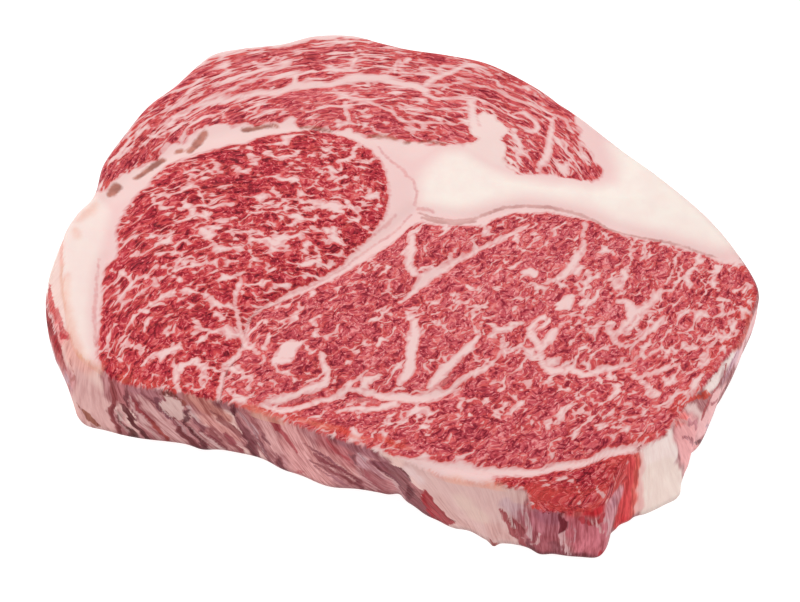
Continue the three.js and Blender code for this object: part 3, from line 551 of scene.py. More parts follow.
# Cut vessels, skins between fat layers, red threads, rust-coloured stains in the outer fat, and
# orange-red spots of juice along the upper cut edge.
VESSELS = [
    [(-78.8, 28.6, 2.2), (-77.4, 31.4, 2.6)], [(-72.5, 35.5, 1.6), (-69, 38.6, 2.2), (-66, 41.5, 2.2)],
    [(-61.9, 44.8, 1.6), (-61, 45.4, 1.4)], [(-58.5, 45.5, 1.8), (-56, 49, 2.3), (-54.5, 52, 1.4)],
    [(-43.8, 53.8, 1.8), (-42, 54, 1.2), (-34.5, 54.3, 0.8)], [(-28, 54.3, 0.8), (-19.5, 53, 0.8)],
    [(-9, 51.2, 0.6), (-1, 49.7, 0.6)], [(1.6, 48.6, 0.7), (2.4, 48.4, 0.7)],
    [(5.5, 47.6, 0.4), (12, 47.3, 0.4)],
]
SKINS = [
    [(5, 22, 0.5), (8, 20, 0.9), (14, 18.5, 1), (20, 19.5, 0.9), (24, 21.5, 0.8), (28, 23.5, 0.8),
     (34, 24.3, 0.9), (40, 23.7, 0.9), (46, 22, 0.8), (50, 20.3, 0.8), (53, 18.5, 0.7), (56, 15.5, 0.7),
     (60, 14, 0.6), (66, 12.5, 0.6), (72, 11, 0.6), (76, 9.5, 0.5), (80, 7.5, 0.4), (84, 6, 0.3)],
    [(6, 19.4, 1), (10, 17.9, 1.5), (15, 17.2, 1.6), (20, 18.4, 1.2)],
]
THREADS = [
    [(-79.5, 4, 0.4), (-79.2, -8, 0.8), (-79.3, -13, 0.9), (-78.5, -18, 0.8), (-77.3, -24, 0.5)],
    [(3, 21, 0.5), (-2, 15, 0.6), (-8, 9, 0.5), (-14, 3, 0.5), (-20, -1.6, 0.4), (-28, -6.6, 0.4)],
    [(-6, 46, 0.5), (-2.5, 40, 0.7), (0.5, 37, 0.6), (1.5, 34, 0.8), (3.5, 33, 0.6), (4.5, 29, 0.6),
     (4, 24, 0.6)],
    [(5, 23, 1), (9, 22, 0.7)], [(-15, -43.5, 0.4), (-10, -42.2, 1.8), (-6, -42.4, 1.2)],
    [(8, -38.4, 0.4), (11, -36, 1.2), (14, -34, 0.5)],
    [(-30, -43, 0.4), (-25, -42, 0.8), (-21, -41, 0.4)],
    [(-1, 21, 0.4), (-4, 17, 0.6), (-7, 13.4, 0.4)],
]
STAINS = [
    [(-82.6, 24, 1), (-84, 21, 2.4), (-86.4, 17.6, 1)], [(-86.4, 14, 1.2), (-85.6, 12, 1)],
    [(-87.4, -2, 1), (-86, -12, 1.6), (-84, -22, 2.4), (-80, -29, 2.6), (-76, -32, 2)],
    [(11, -65.4, 2), (18, -67.4, 2.6), (24, -67.2, 2)], [(-36, -46, 2), (-30, -48.6, 2)],
]
JUICE = [        # bright orange-red spots along the upper cut edge
    [(-71.1, -34.4, 0.8), (-69.5, -35.7, 1.3), (-68, -36.3, 0.8)],
    [(-40.6, -42.9, 0.8), (-38.1, -44.1, 1.8), (-35.5, -45.4, 1.8), (-34, -45.9, 0.8)],
    [(-24.6, -48.7, 0.8), (-20.1, -50.2, 1.3), (-15.7, -51.6, 1.3), (-11.7, -53.2, 1),
     (-9.3, -54, 0.6)],
    [(88.8, -14.3, 0.8), (89.2, -17.6, 1.5), (88.1, -22.2, 1.3)],
    [(87, -22.9, 1.1), (85.2, -25.5, 1.5), (83.5, -27.4, 0.8)],
    [(77.7, -38.9, 0.8), (75.5, -41, 1.3), (73.3, -42.6, 0.8)],
    [(-4.9, -54.2, 0.6), (-1.2, -55.7, 1), (2.4, -56.6, 0.6)],
]

OUTLINE_STEPS = 4       # points along a muscle's outline for each knot of it


def outline_reach(points, outline):
    """How far points lie inside a closed smooth outline, negative outside it."""
    loop = closed_curve(np.array(outline, float), OUTLINE_STEPS)
    ends = np.roll(loop, -1, 0)
    gap = np.full(len(points), np.inf)
    inside = np.zeros(len(points), bool)
    for start, end in zip(loop, ends):
        run = end - start
        share = np.clip((points - start) @ run / max(run @ run, TINY), 0, 1)
        gap = np.minimum(gap, np.sum((points - start - share[:, None] * run) ** 2, axis=1))
        crosses = (start[1] > points[:, 1]) != (end[1] > points[:, 1])
        if start[1] != end[1]:
            where = start[0] + (points[:, 1] - start[1]) * run[0] / run[1]
            inside ^= crosses & (points[:, 0] < where)
    return np.where(inside, 1, -1) * np.sqrt(gap)


# Sets of waves that push drawn lines to and fro: size and reach in millimetres, and a seed.
GENTLE_WAVES = [(14.0, 0.2, 3), (5.0, 0.1, 4)]
RESTLESS_WAVES = [(7.0, 0.35, 5), (3.0, 0.25, 6)]
WALL_WAVES = [(9.0, 0.35, 7), (4.0, 0.12, 8)]
DRIFTING_WAVES = [(16.0, 2.0, 9), (6.0, 0.7, 10)]
CROSSING = 9            # how many waves of one size cross each other
CROSSING_SUM = 2.1      # how far they swing together, for a swing of 1 each
SIZE_SPREAD = (0.6, 1.5)        # and how much their sizes differ


def waver(points, waves):
    """Shifts points to and fro by a few crossing waves, so that no drawn line stays straight."""
    for size_mm, reach_mm, seed in waves:
        dice = np.random.default_rng(seed)
        shift = np.zeros_like(points)
        for _ in range(CROSSING):
            heading, start = dice.uniform(0, 2 * math.pi, 2)
            wave = 2 * math.pi / (size_mm * dice.uniform(*SIZE_SPREAD))
            swing = dice.normal(0, reach_mm / CROSSING_SUM, 2)
            phase = wave * (points @ [math.cos(heading), math.sin(heading)]) + start
            shift += np.sin(phase)[:, None] * swing
        points = points + shift
    return points


wavy_plan = waver(pattern_plan, GENTLE_WAVES)
restless_plan = waver(pattern_plan, RESTLESS_WAVES)
muscle_reach = np.array([outline_reach(restless_plan if outline is CAP_MUSCLE else wavy_plan, outline)
                         for outline in MUSCLES])
muscle = np.argmax(muscle_reach, axis=0)
JUICE_LOSS = 0.5        # the spots of juice shrink by this with each row over the rounded edge
marks = {
    "seam": np.maximum(-muscle_reach.max(axis=0), strokes_reach(wavy_plan, FAT_SEAMS)),
    "fleck": strokes_reach(restless_plan, LEFT_FLECKS + RIGHT_FLECKS + CAP_FLECKS + FLAP_FLECKS),
    "vessel": strokes_reach(wavy_plan, VESSELS),
    "skin": strokes_reach(pattern_plan, SKINS),
    "thread": strokes_reach(wavy_plan, THREADS),
    "stain": np.where(past_rim, -STROKE_REACH, strokes_reach(wavy_plan, STAINS)),
    "juice": np.where(past_rim, -STROKE_REACH, strokes_reach(wavy_plan, JUICE) - JUICE_LOSS * row),
}

# How the grain lies in the muscles: places on the cut (x, y) and the way the bundles of fibres point
# there, in degrees anticlockwise from x. A smooth pair of maps, along and across, is fitted to them.
GRAIN_LAY = [
    [(-75, 20, 70), (-64, 33, 45), (-53, 44, 32), (-43, 46, 18), (-32, 47, 14), (-20, 46, 8),
     (-64, 18, 24), (-53, 17, 12), (-43, 24, 2), (-32, 24, -6), (-32, 17, -14), (-21, 20, -16),
     (-12, 30, 6), (-53, 3, 12), (-43, 3, -4), (-32, 5, -14), (-66, -8, 34), (-53, -10, 34),
     (-66, -24, 44), (-53, -24, 50), (-66, -38, 62), (-53, -38, 60), (-45, -30, 56)],
    [(-38, -22, 30), (-32, -10, 24), (-21, -10, 44), (-11, -8, 50), (0, 0, 52), (-32, -28, 46),
     (-21, -24, 52), (-11, -26, 46), (5, -10, 50), (11, 4, 34), (22, 8, 20), (11, -24, 58),
     (21, -24, 54), (32, 12, 30), (43, -10, 46), (43, 12, 44), (53, -10, 44), (53, 5, 56), (64, 4, 62),
     (64, -10, 60), (76, -6, 66), (88, -8, 60), (32, -24, 58), (43, -24, 48), (53, -24, 38),
     (64, -24, 44), (76, -24, 48), (-21, -42, 30), (0, -44, 30), (11, -38, 42), (21, -40, 46),
     (32, -40, 48), (43, -38, 38), (53, -40, 38), (64, -38, 44), (11, -54, 18), (24, -54, 34),
     (34, -54, 44), (43, -54, 36), (55, -52, 34)],
    [(-80, 36, 66), (-72, 52, 58), (-64, 52, 50), (-60, 66, 46), (-53, 62, 36), (-43, 60, 20),
     (-43, 76, 26), (-32, 60, 14), (-32, 76, 16), (-21, 58, 10), (-16, 76, 8), (-11, 62, -6),
     (0, 60, -12), (0, 76, -8), (10, 56, -10), (14, 74, -14), (21, 72, -20), (32, 68, -30),
     (36, 56, -50), (42, 58, -40), (43, 44, -66), (50, 46, -62), (53, 38, -60)],
    [(22, -65, 8), (30, -67, 8), (38, -68, 12), (46, -67, 22), (52, -62, 40), (57, -58, 64),
     (28, -64, 12), (44, -63, 22), (50, -65, 36), (55, -62, 60)],
]
# How closely the fibres lie along and across the grain in each of MUSCLES, 1 being the usual.
GRAIN_STRETCH = np.array([(1.0, 1.0), (1.0, 1.0), (0.58, 1.3), (1.2, 1.9)])
GRAIN_APART = 300.0     # keeps each muscle's pattern clear of the next one's
GRAIN_SLANT = np.array([0.16, 0.10])    # shift of the grain for each millimetre down the wall
FLAP_SLANT = 8.0        # how much more the flap's torn fibres shift
FLAP_WALL = (436, 442, 468, 473)        # where the flap's wall starts and ends along the edge
LAY_REACH = 50.0
STEADINESS = 0.02       # holds the fitted map back from bending more than it has to
POWERS = [(i, j) for i in range(4) for j in range(4 - i) if i + j]


def slopes(points, axis):
    """How fast each power of x and y rises along an axis, for fitting the grain."""
    x, y = points.T / LAY_REACH
    columns = []
    for i, j in POWERS:
        lower_i, lower_j = (i - 1, j) if axis == 0 else (i, j - 1)
        factor = (i, j)[axis] / LAY_REACH
        columns.append(factor * x ** max(lower_i, 0) * y ** max(lower_j, 0))
    return np.stack(columns, 1)


grain = np.zeros_like(pattern_plan)
for k, lay in enumerate(GRAIN_LAY):
    lay = np.array(lay, float)
    middle = lay[:, :2].mean(0)
    turn_there = np.radians(lay[:, 2])
    rises = np.vstack([slopes(lay[:, :2] - middle, 0), slopes(lay[:, :2] - middle, 1)])
    steady = STEADINESS * np.eye(len(POWERS))
    along = np.concatenate([np.cos(turn_there), np.sin(turn_there)])
    athwart = np.concatenate([-np.sin(turn_there), np.cos(turn_there)])
    wanted = np.stack([along, athwart], 1)
    weights = np.linalg.solve(rises.T @ rises + steady.T @ steady, rises.T @ wanted)
    mine = muscle == k
    x, y = ((pattern_plan[mine] - middle) / LAY_REACH).T
    rows = np.stack([x**i * y**j for i, j in POWERS], 1)
    grain[mine] = rows @ weights * GRAIN_STRETCH[k] + GRAIN_APART * k
slanted = below_edge * (1 + FLAP_SLANT * between(station, *FLAP_WALL))
grain += slanted[:, None] * GRAIN_SLANT

# How the fat and the lean are toned from place to place. Fat is creamiest in the thick kernel on
# the right, less so in its pocket, in the band down the left and in the seam behind the eye.
KERNEL_FAT = [
    (4, 24), (3, 30), (5, 38), (10, 44.5), (18, 46), (29, 38), (44, 34.5), (57, 34.5), (56, 48),
    (64, 48), (76, 34), (86, 20), (92, 8), (84, 6.4), (76, 10), (66, 13.4), (58, 16), (52, 20),
    (44, 23.4), (34, 25), (26, 23), (18, 20.4), (10, 21),
]
KERNEL_POCKET = [(18, 44), (19, 52), (20, 58), (24, 61), (29, 58), (31, 53), (30, 47), (33, 38)]
RIM_FAT = [(-79, 26), (-78, 10), (-79.5, 0), (-79.5, -14), (-78, -30), (-90, -36), (-100, -8), (-96, 30)]
SEAM_FAT = [
    (-80, 34), (-66, 42), (-52, 53), (-34, 55), (-12, 52), (10, 46), (4, 40), (-8, 47), (-26, 52),
    (-44, 47.6), (-60, 42), (-70, 30), (-76, 24), (-84, 26),
]
CREAM = [       # how creamy each fat is, and from where to where inside its outline that comes in
    (KERNEL_FAT, 0.95, -1, 6), (KERNEL_POCKET, 0.35, -3, 3), (RIM_FAT, 0.62, -1, 3),
    (SEAM_FAT, 0.14, -1, 2),
]
marks["cream"] = np.max([most * fade(outline_reach(pattern_plan, outline), start, end)
                         for outline, most, start, end in CREAM], axis=0)

# The colour of each of MUSCLES, from deep red at 0 to pink at 1, and how much lighter it is than the
# first. The long muscle is pinker and lighter still round its heart.
TONES = np.array([0.05, 0.7, 0.65, 0.1])
LIGHTNESS = np.array([0.0, 0.01, 0.04, 0.06])
HEART, HEART_RADIUS = (34, -4), 24.0
HEART_PINK, HEART_LIGHT = 0.4, 0.07
at_heart = np.exp(-np.sum((pattern_plan - HEART) ** 2, axis=1) / HEART_RADIUS**2) * (muscle == LONG)
marks["tone"] = TONES[muscle] + HEART_PINK * at_heart
marks["lightness"] = LIGHTNESS[muscle] + HEART_LIGHT * at_heart

# Places that are fattier or leaner than the rest: x, y, radius and by how much.
MARBLED = [
    (-42, 42, 15, -0.16), (-48, 12, 16, 0.12), (-62, -14, 14, -0.06), (-28, 20, 12, 0.08),
    (-14, 30, 9, 0.06), (-58, -34, 12, 0.05), (30, 0, 20, -0.12), (-12, -16, 18, -0.16),
    (-18, -36, 12, -0.10), (18, -52, 16, -0.12), (70, -16, 18, 0.06), (55, 8, 12, 0.02),
    (78, 4, 10, -0.04), (60, -42, 12, 0.10), (40, -48, 10, 0.02), (-66, 60, 14, 0.22),
    (-50, 74, 12, 0.14), (-10, 80, 14, 0.10), (-36, 60, 10, 0.10), (6, 62, 14, 0.12),
    (30, 76, 12, 0.06), (42, 46, 12, 0.10), (42, -66, 14, -0.35), (-75, 44, 8, 0.1),
]
FLAP_MARBLING = -0.5    # the flap has hardly any
marks["marbling"] = FLAP_MARBLING * (muscle == FLAP)
for x, y, radius, amount in MARBLED:
    marks["marbling"] += amount * np.exp(-np.sum((pattern_plan - (x, y)) ** 2, axis=1) / radius**2)

# How far the surface has dried: the walls have, while the cut face, the base and the flap's brow
# are fresh. The lean blushes brightest along the edge of the cut.
FLAP_BROW, BROW_DEPTH = (438, 443, 466, 470), (6.5, 10)
FOOT_AGE = 1.7          # how long the dried skin holds on under the rounded foot
BLUSH_REACH = (0.5, 4.0)
aged = np.where(is_face | is_base, 0, np.where(row <= ROUND_ROWS, row / ROUND_ROWS, 1))
aged *= np.where(foot_turn > 0, 1 - foot_turn / FOOT_AGE, 1)
marks["aged"] = aged * (1 - between(station, *FLAP_BROW) * (1 - fade(depth, *BROW_DEPTH)))
rim_gap = (1 - ring) * np.linalg.norm(rim_plan - HUB, axis=1)
marks["blush"] = 1 - fade(rim_gap, *BLUSH_REACH)

# The wall is painted with strokes given by their distance along the edge, their depth below the
# cut face and their width. First broad soft areas, with how softly they end and how strong they are.
WALL_AREAS = [
    # the fat bulge on the left, stained pink and orange by juice
    ("#DE9A92", 5, 0.85, [(299.1, 25, 8), (311.2, 25, 12), (323.2, 25, 8)]),
    ("#E4A096", 2.6, 0.85, [(310.2, 4, 4), (316.2, 4, 7), (322.2, 3, 4)]),
    ("#DBA8A4", 2.2, 0.95, [(320.2, 8, 5), (324.2, 12, 9), (325.2, 22, 9)]),
    ("#E4A68C", 1, 0.6, [(281.9, 1.2, 1.4), (291.1, 1.9, 2), (298.1, 1.6, 1.6), (303.1, 1.4, 1)]),
    ("#EFB2A6", 1.2, 0.8, [(287, 1.5, 1.4), (280.9, 2, 2.4), (276.8, 6, 2.2), (275.3, 11, 1.8),
                           (276.2, 15, 1.4)]),
    ("#D98C74", 0.5, 0.7, [(275.7, 12, 0.6), (277.4, 16, 1.4), (279.8, 19.6, 0.9), (282.9, 21.4, 0.9),
                           (287, 22.3, 0.9)]),
    ("#E8C8BC", 2.5, 0.6, [(280.9, 8, 4), (285, 9, 4)]),
    ("#E6A2A0", 1.6, 0.9, [(282.9, 15, 3), (289, 16, 6), (294.1, 18.4, 4)]),
    ("#E8908E", 1.4, 0.8, [(289, 11, 2), (294.1, 10, 3), (301.1, 7.5, 4), (308.2, 7, 4)]),
    ("#E68E74", 1.6, 0.7, [(296.1, 26, 4), (300.1, 23, 2)]),
    ("#C8706E", 2, 0.95, [(292.1, 13, 7), (299.1, 14, 10), (307.2, 13, 10), (312.2, 13, 8)]),
    ("#BE5858", 1.6, 0.95, [(295.1, 14, 4), (300.1, 14, 7), (305.2, 12, 6), (310.2, 11, 3)]),
    ("#C4888C", 1.2, 0.9, [(304.2, 15.4, 2), (308.2, 15, 4), (312.2, 15, 4)]),
    ("#B0585C", 1, 0.8, [(303.1, 17.4, 2), (307.2, 18, 2.4), (310.2, 16, 2)]),
    ("#D08A8C", 1.6, 0.9, [(305.2, 22, 6), (311.2, 21, 7), (315.2, 16, 6), (317.2, 11, 4)]),
    ("#C4A4AE", 0.9, 0.7, [(311.8, 19, 1), (314.2, 16, 1.8), (316.6, 12, 1.4)]),
    ("#BE7470", 0.9, 0.8, [(311.2, 24, 1.4), (314.6, 19, 1.6), (316.8, 15, 1.2)]),
    # painted highlights: glints on the wet fat, laid on as patches of whiter fat
    ("#FFF6F0", 1.6, 0.9, [(279.4, 6.4, 2.4), (280.4, 8.8, 3.6), (280.6, 11.6, 2)]),
    ("#FFF6F0", 1.2, 0.95, [(285.4, 12.8, 2.2), (287.4, 11.2, 3), (289.2, 9.8, 2)]),
    ("#E8D0D2", 1, 0.95, [(302.8, 14.6, 1.2), (305, 14, 3), (307, 13.2, 1.6)]),
    ("#ECD6D4", 1, 0.95, [(309, 17, 1.8), (310.8, 16, 2.8), (312, 14.8, 1.4)]),
    ("#E6A878", 0.8, 0.7, [(318.2, 1.4, 0.8), (322.2, 1.2, 0.6)]),
    # the end of the left muscle, dull pink with dried streaks
    ("#B4666A", 1.4, 0.9, [(333.2, 3, 4), (334.2, 8, 4)]),
    ("#C68F8E", 0.8, 0.9, [(332.8, 12.4, 1.6), (333.6, 16, 1.6)]),
    ("#A8686E", 1.2, 0.9, [(336.2, 2, 3), (342.2, 3, 4), (344.2, 5, 2)]),
    ("#D09C9A", 1, 0.95, [(339.2, 5, 1), (341.7, 10, 2.4), (344.2, 16, 3.6), (346.2, 21, 4),
                          (347.2, 26, 4)]),
    ("#C07A70", 1.4, 0.9, [(352.2, 2, 3), (357.2, 4, 6), (361.2, 7, 3)]),
    ("#D08E88", 1.2, 0.9, [(356.2, 9, 3), (359.8, 12, 3.4), (362.8, 16, 2)]),
    ("#B0686A", 1.4, 0.8, [(355.2, 14, 3), (358.2, 19, 5), (360.2, 24, 5)]),
    ("#8E5056", 1, 0.9, [(359.2, 1.6, 2.4), (363.6, 2.4, 3)]),
    ("#D69C9A", 1.6, 0.95, [(372.2, 3, 3), (373.2, 9, 4), (374.2, 14, 4)]),
    ("#D79694", 1.6, 0.95, [(379.2, 3, 5), (381.2, 10, 9), (383.2, 18, 11), (383.2, 25, 10)]),
    ("#CC8886", 1.6, 0.8, [(388.2, 7, 4), (392.2, 10, 4), (395.2, 14, 3)]),
    ("#B56266", 1.6, 0.8, [(388.2, 3, 4), (393.2, 5, 5), (395.2, 9, 3)]),
    ("#9A5C64", 1, 0.9, [(390.2, 1, 1), (395.2, 1.6, 2.8), (401.2, 2.4, 3), (404.2, 3.6, 2)]),
    ("#C8949A", 1, 0.95, [(397.6, 4.6, 2), (398.2, 8.6, 4), (401.2, 11, 3), (404.2, 13.6, 2.4),
                          (405.8, 16, 2)]),
    ("#A45A5E", 1.2, 0.85, [(399.8, 12, 2), (401.6, 15, 3.4), (401.8, 19, 4.6), (401.2, 23, 4)]),
    ("#C47E80", 0.9, 0.9, [(404.2, 15, 1.4), (404.8, 18, 2), (404.2, 21, 1)]),
    # the smooth white fat wall under the long muscle
    ("#DDB3AE", 1.4, 1, [(411.2, 2.5, 4), (417.2, 8, 8), (423.2, 13, 14), (428.2, 19, 16),
                         (431.2, 25, 14)]),
    ("#DDB3AE", 1.4, 1, [(410.2, 3.5, 3), (423.2, 4, 10), (432.2, 6, 8), (433.2, 14, 6),
                         (436.2, 22, 5)]),
    # a painted highlight on the wet fat, laid on as paler fat
    ("#E6C6C4", 1.4, 0.8, [(410.2, 4.4, 2), (413.2, 7, 2.6)]),
    ("#EDA79C", 0.9, 0.8, [(415.2, 2.4, 0.8), (421.2, 2.2, 1.8), (428.2, 2.4, 1.4), (432.2, 2.6, 0.8)]),
    ("#D2A29C", 2, 0.7, [(418.2, 11, 1.6), (421.2, 17, 3), (426.2, 22, 3)]),
    ("#E2C0B4", 2, 0.7, [(424.2, 9, 3), (428.2, 14, 4)]),
    ("#D6A49E", 1.6, 0.7, [(432.2, 16, 3), (435.2, 21, 3)]),
    ("#CBA4A8", 1.2, 0.9, [(434.2, 7, 2), (437.2, 9, 4), (439.2, 11, 3)]),
    ("#D7AEA8", 1, 0.9, [(434.2, 3.4, 1.6), (438.2, 5.4, 3.6)]),
    # the flap: fresh red at its brow, dried below, and lilac where it turns into the crook
    ("#B96C76", 1.4, 1, [(441.2, 11, 4), (444.8, 15, 8)]),
    ("#A4545C", 1.6, 0.95, [(444.8, 19, 8), (445.2, 23, 8)]),
    ("#C66C76", 1.4, 1, [(451.2, 12, 5), (455.2, 16, 8), (455.6, 22, 8)]),
    ("#A8606E", 1.2, 0.9, [(444.2, 9, 3), (447.2, 10, 3)]),
    ("#C83038", 1.2, 1, [(449.2, 6, 2.4), (452.2, 7.2, 3.8), (455.2, 7.6, 4.4), (459.2, 7.8, 4.6),
                         (463.8, 6.4, 3.4)]),
    ("#A23440", 0.9, 0.9, [(444.8, 4.4, 1.6), (447.6, 5.6, 2.4), (449.8, 6.4, 1.4)]),
    ("#D0504A", 0.8, 0.95, [(441, 4.2, 1.6), (443.2, 5, 2.8), (445.2, 5.6, 1.2)]),
    ("#D87672", 0.8, 0.8, [(452.6, 6.6, 1.4), (452.8, 8.8, 1.6)]),
    ("#D6929A", 1.2, 0.95, [(460.6, 9.6, 3), (461.2, 13, 4), (460.2, 18, 2)]),
    ("#D48E96", 1.2, 0.9, [(462.8, 9, 2), (465.8, 11, 3.4), (464.8, 14, 3)]),
    ("#B87A88", 0.9, 0.8, [(462, 10, 1), (462.8, 12, 1.4)]),
    ("#8A4850", 0.9, 0.85, [(447.8, 19, 1.4), (449, 21.6, 2.4), (448.2, 24.6, 2)]),
    ("#86424A", 1, 0.8, [(441.2, 22, 1.4), (444.6, 25, 2.6), (453.2, 23.8, 2.6), (456.2, 25, 2.4)]),
    # the red band in the crook, and the white block beside it
    ("#D8504E", 1, 1, [(467.6, 3.6, 5), (468.8, 8, 4)]),
    ("#DC4E50", 0.9, 1, [(470.6, 2, 4.6), (470.2, 8, 4.4), (468.6, 13, 5), (466.8, 18, 7),
                         (466.4, 24, 7)]),
    ("#E66A60", 0.7, 0.9, [(472.2, 3, 1.6), (472, 9, 1.8), (471.2, 15, 2.2), (470.6, 22, 2.6)]),
    ("#D03A3E", 0.7, 0.9, [(462.6, 18, 0.9), (464.8, 20.4, 1.6), (467.2, 23, 1.6)]),
    ("#F8E0DA", 0.8, 1, [(478.2, 0.6, 8.6), (478.6, 5, 9.6), (478.2, 9, 9.6)]),
    ("#F6DED4", 0.9, 1, [(477.8, 12, 8.8), (478.6, 17, 10.6), (479.8, 22, 13), (480.2, 26, 14)]),
    ("#F0D6C8", 2, 0.6, [(478.2, 22, 4)]),
    ("#F2BEB8", 0.8, 0.9, [(473.8, 3, 0.8), (473.6, 8, 1.2), (473, 14, 1.4), (472.2, 22, 2)]),
    # the right-hand wall
    ("#F8B0B0", 2, 0.95, [(487.2, 3, 6), (489.2, 8, 9), (490.2, 14, 9), (492.2, 20, 8),
                          (495.2, 26, 8)]),
    ("#EA6A66", 1, 0.85, [(485.8, 1, 1.6), (488.6, 2.2, 3), (490.8, 4.2, 1.6)]),
    ("#BE888A", 0.9, 0.7, [(483, 10.8, 1), (484.6, 14, 1.4), (485.8, 18, 1.8), (487.2, 21, 1.4)]),
    ("#F0CCC8", 0.8, 0.9, [(491.6, 0.8, 1.2), (493.2, 2.6, 2), (495, 5, 1.4), (496.2, 8, 1),
                           (495.8, 10.4, 0.8)]),
    ("#FBE6E0", 0.9, 0.95, [(499.8, 1.4, 2), (504.2, 2.8, 4), (509.2, 3, 4.4), (514.2, 2, 2.6)]),
    ("#FBC2C2", 1.8, 0.9, [(498.2, 12, 6), (500.2, 17, 5), (503.2, 9.6, 6), (509.2, 10.6, 5)]),
    ("#E6BCC6", 1.2, 0.85, [(509.2, 8, 2.6), (512.2, 6.6, 3.4), (515.6, 4, 2.6), (518.2, 8, 4)]),
    ("#DE7068", 0.9, 0.85, [(515.6, 1, 1.6), (518.2, 2.2, 2.6), (522.2, 2, 2), (528.2, 1.4, 1.2)]),
    ("#FAC6C6", 2, 0.8, [(521.2, 8, 8), (531.3, 8, 9), (535.5, 6, 5)]),
]
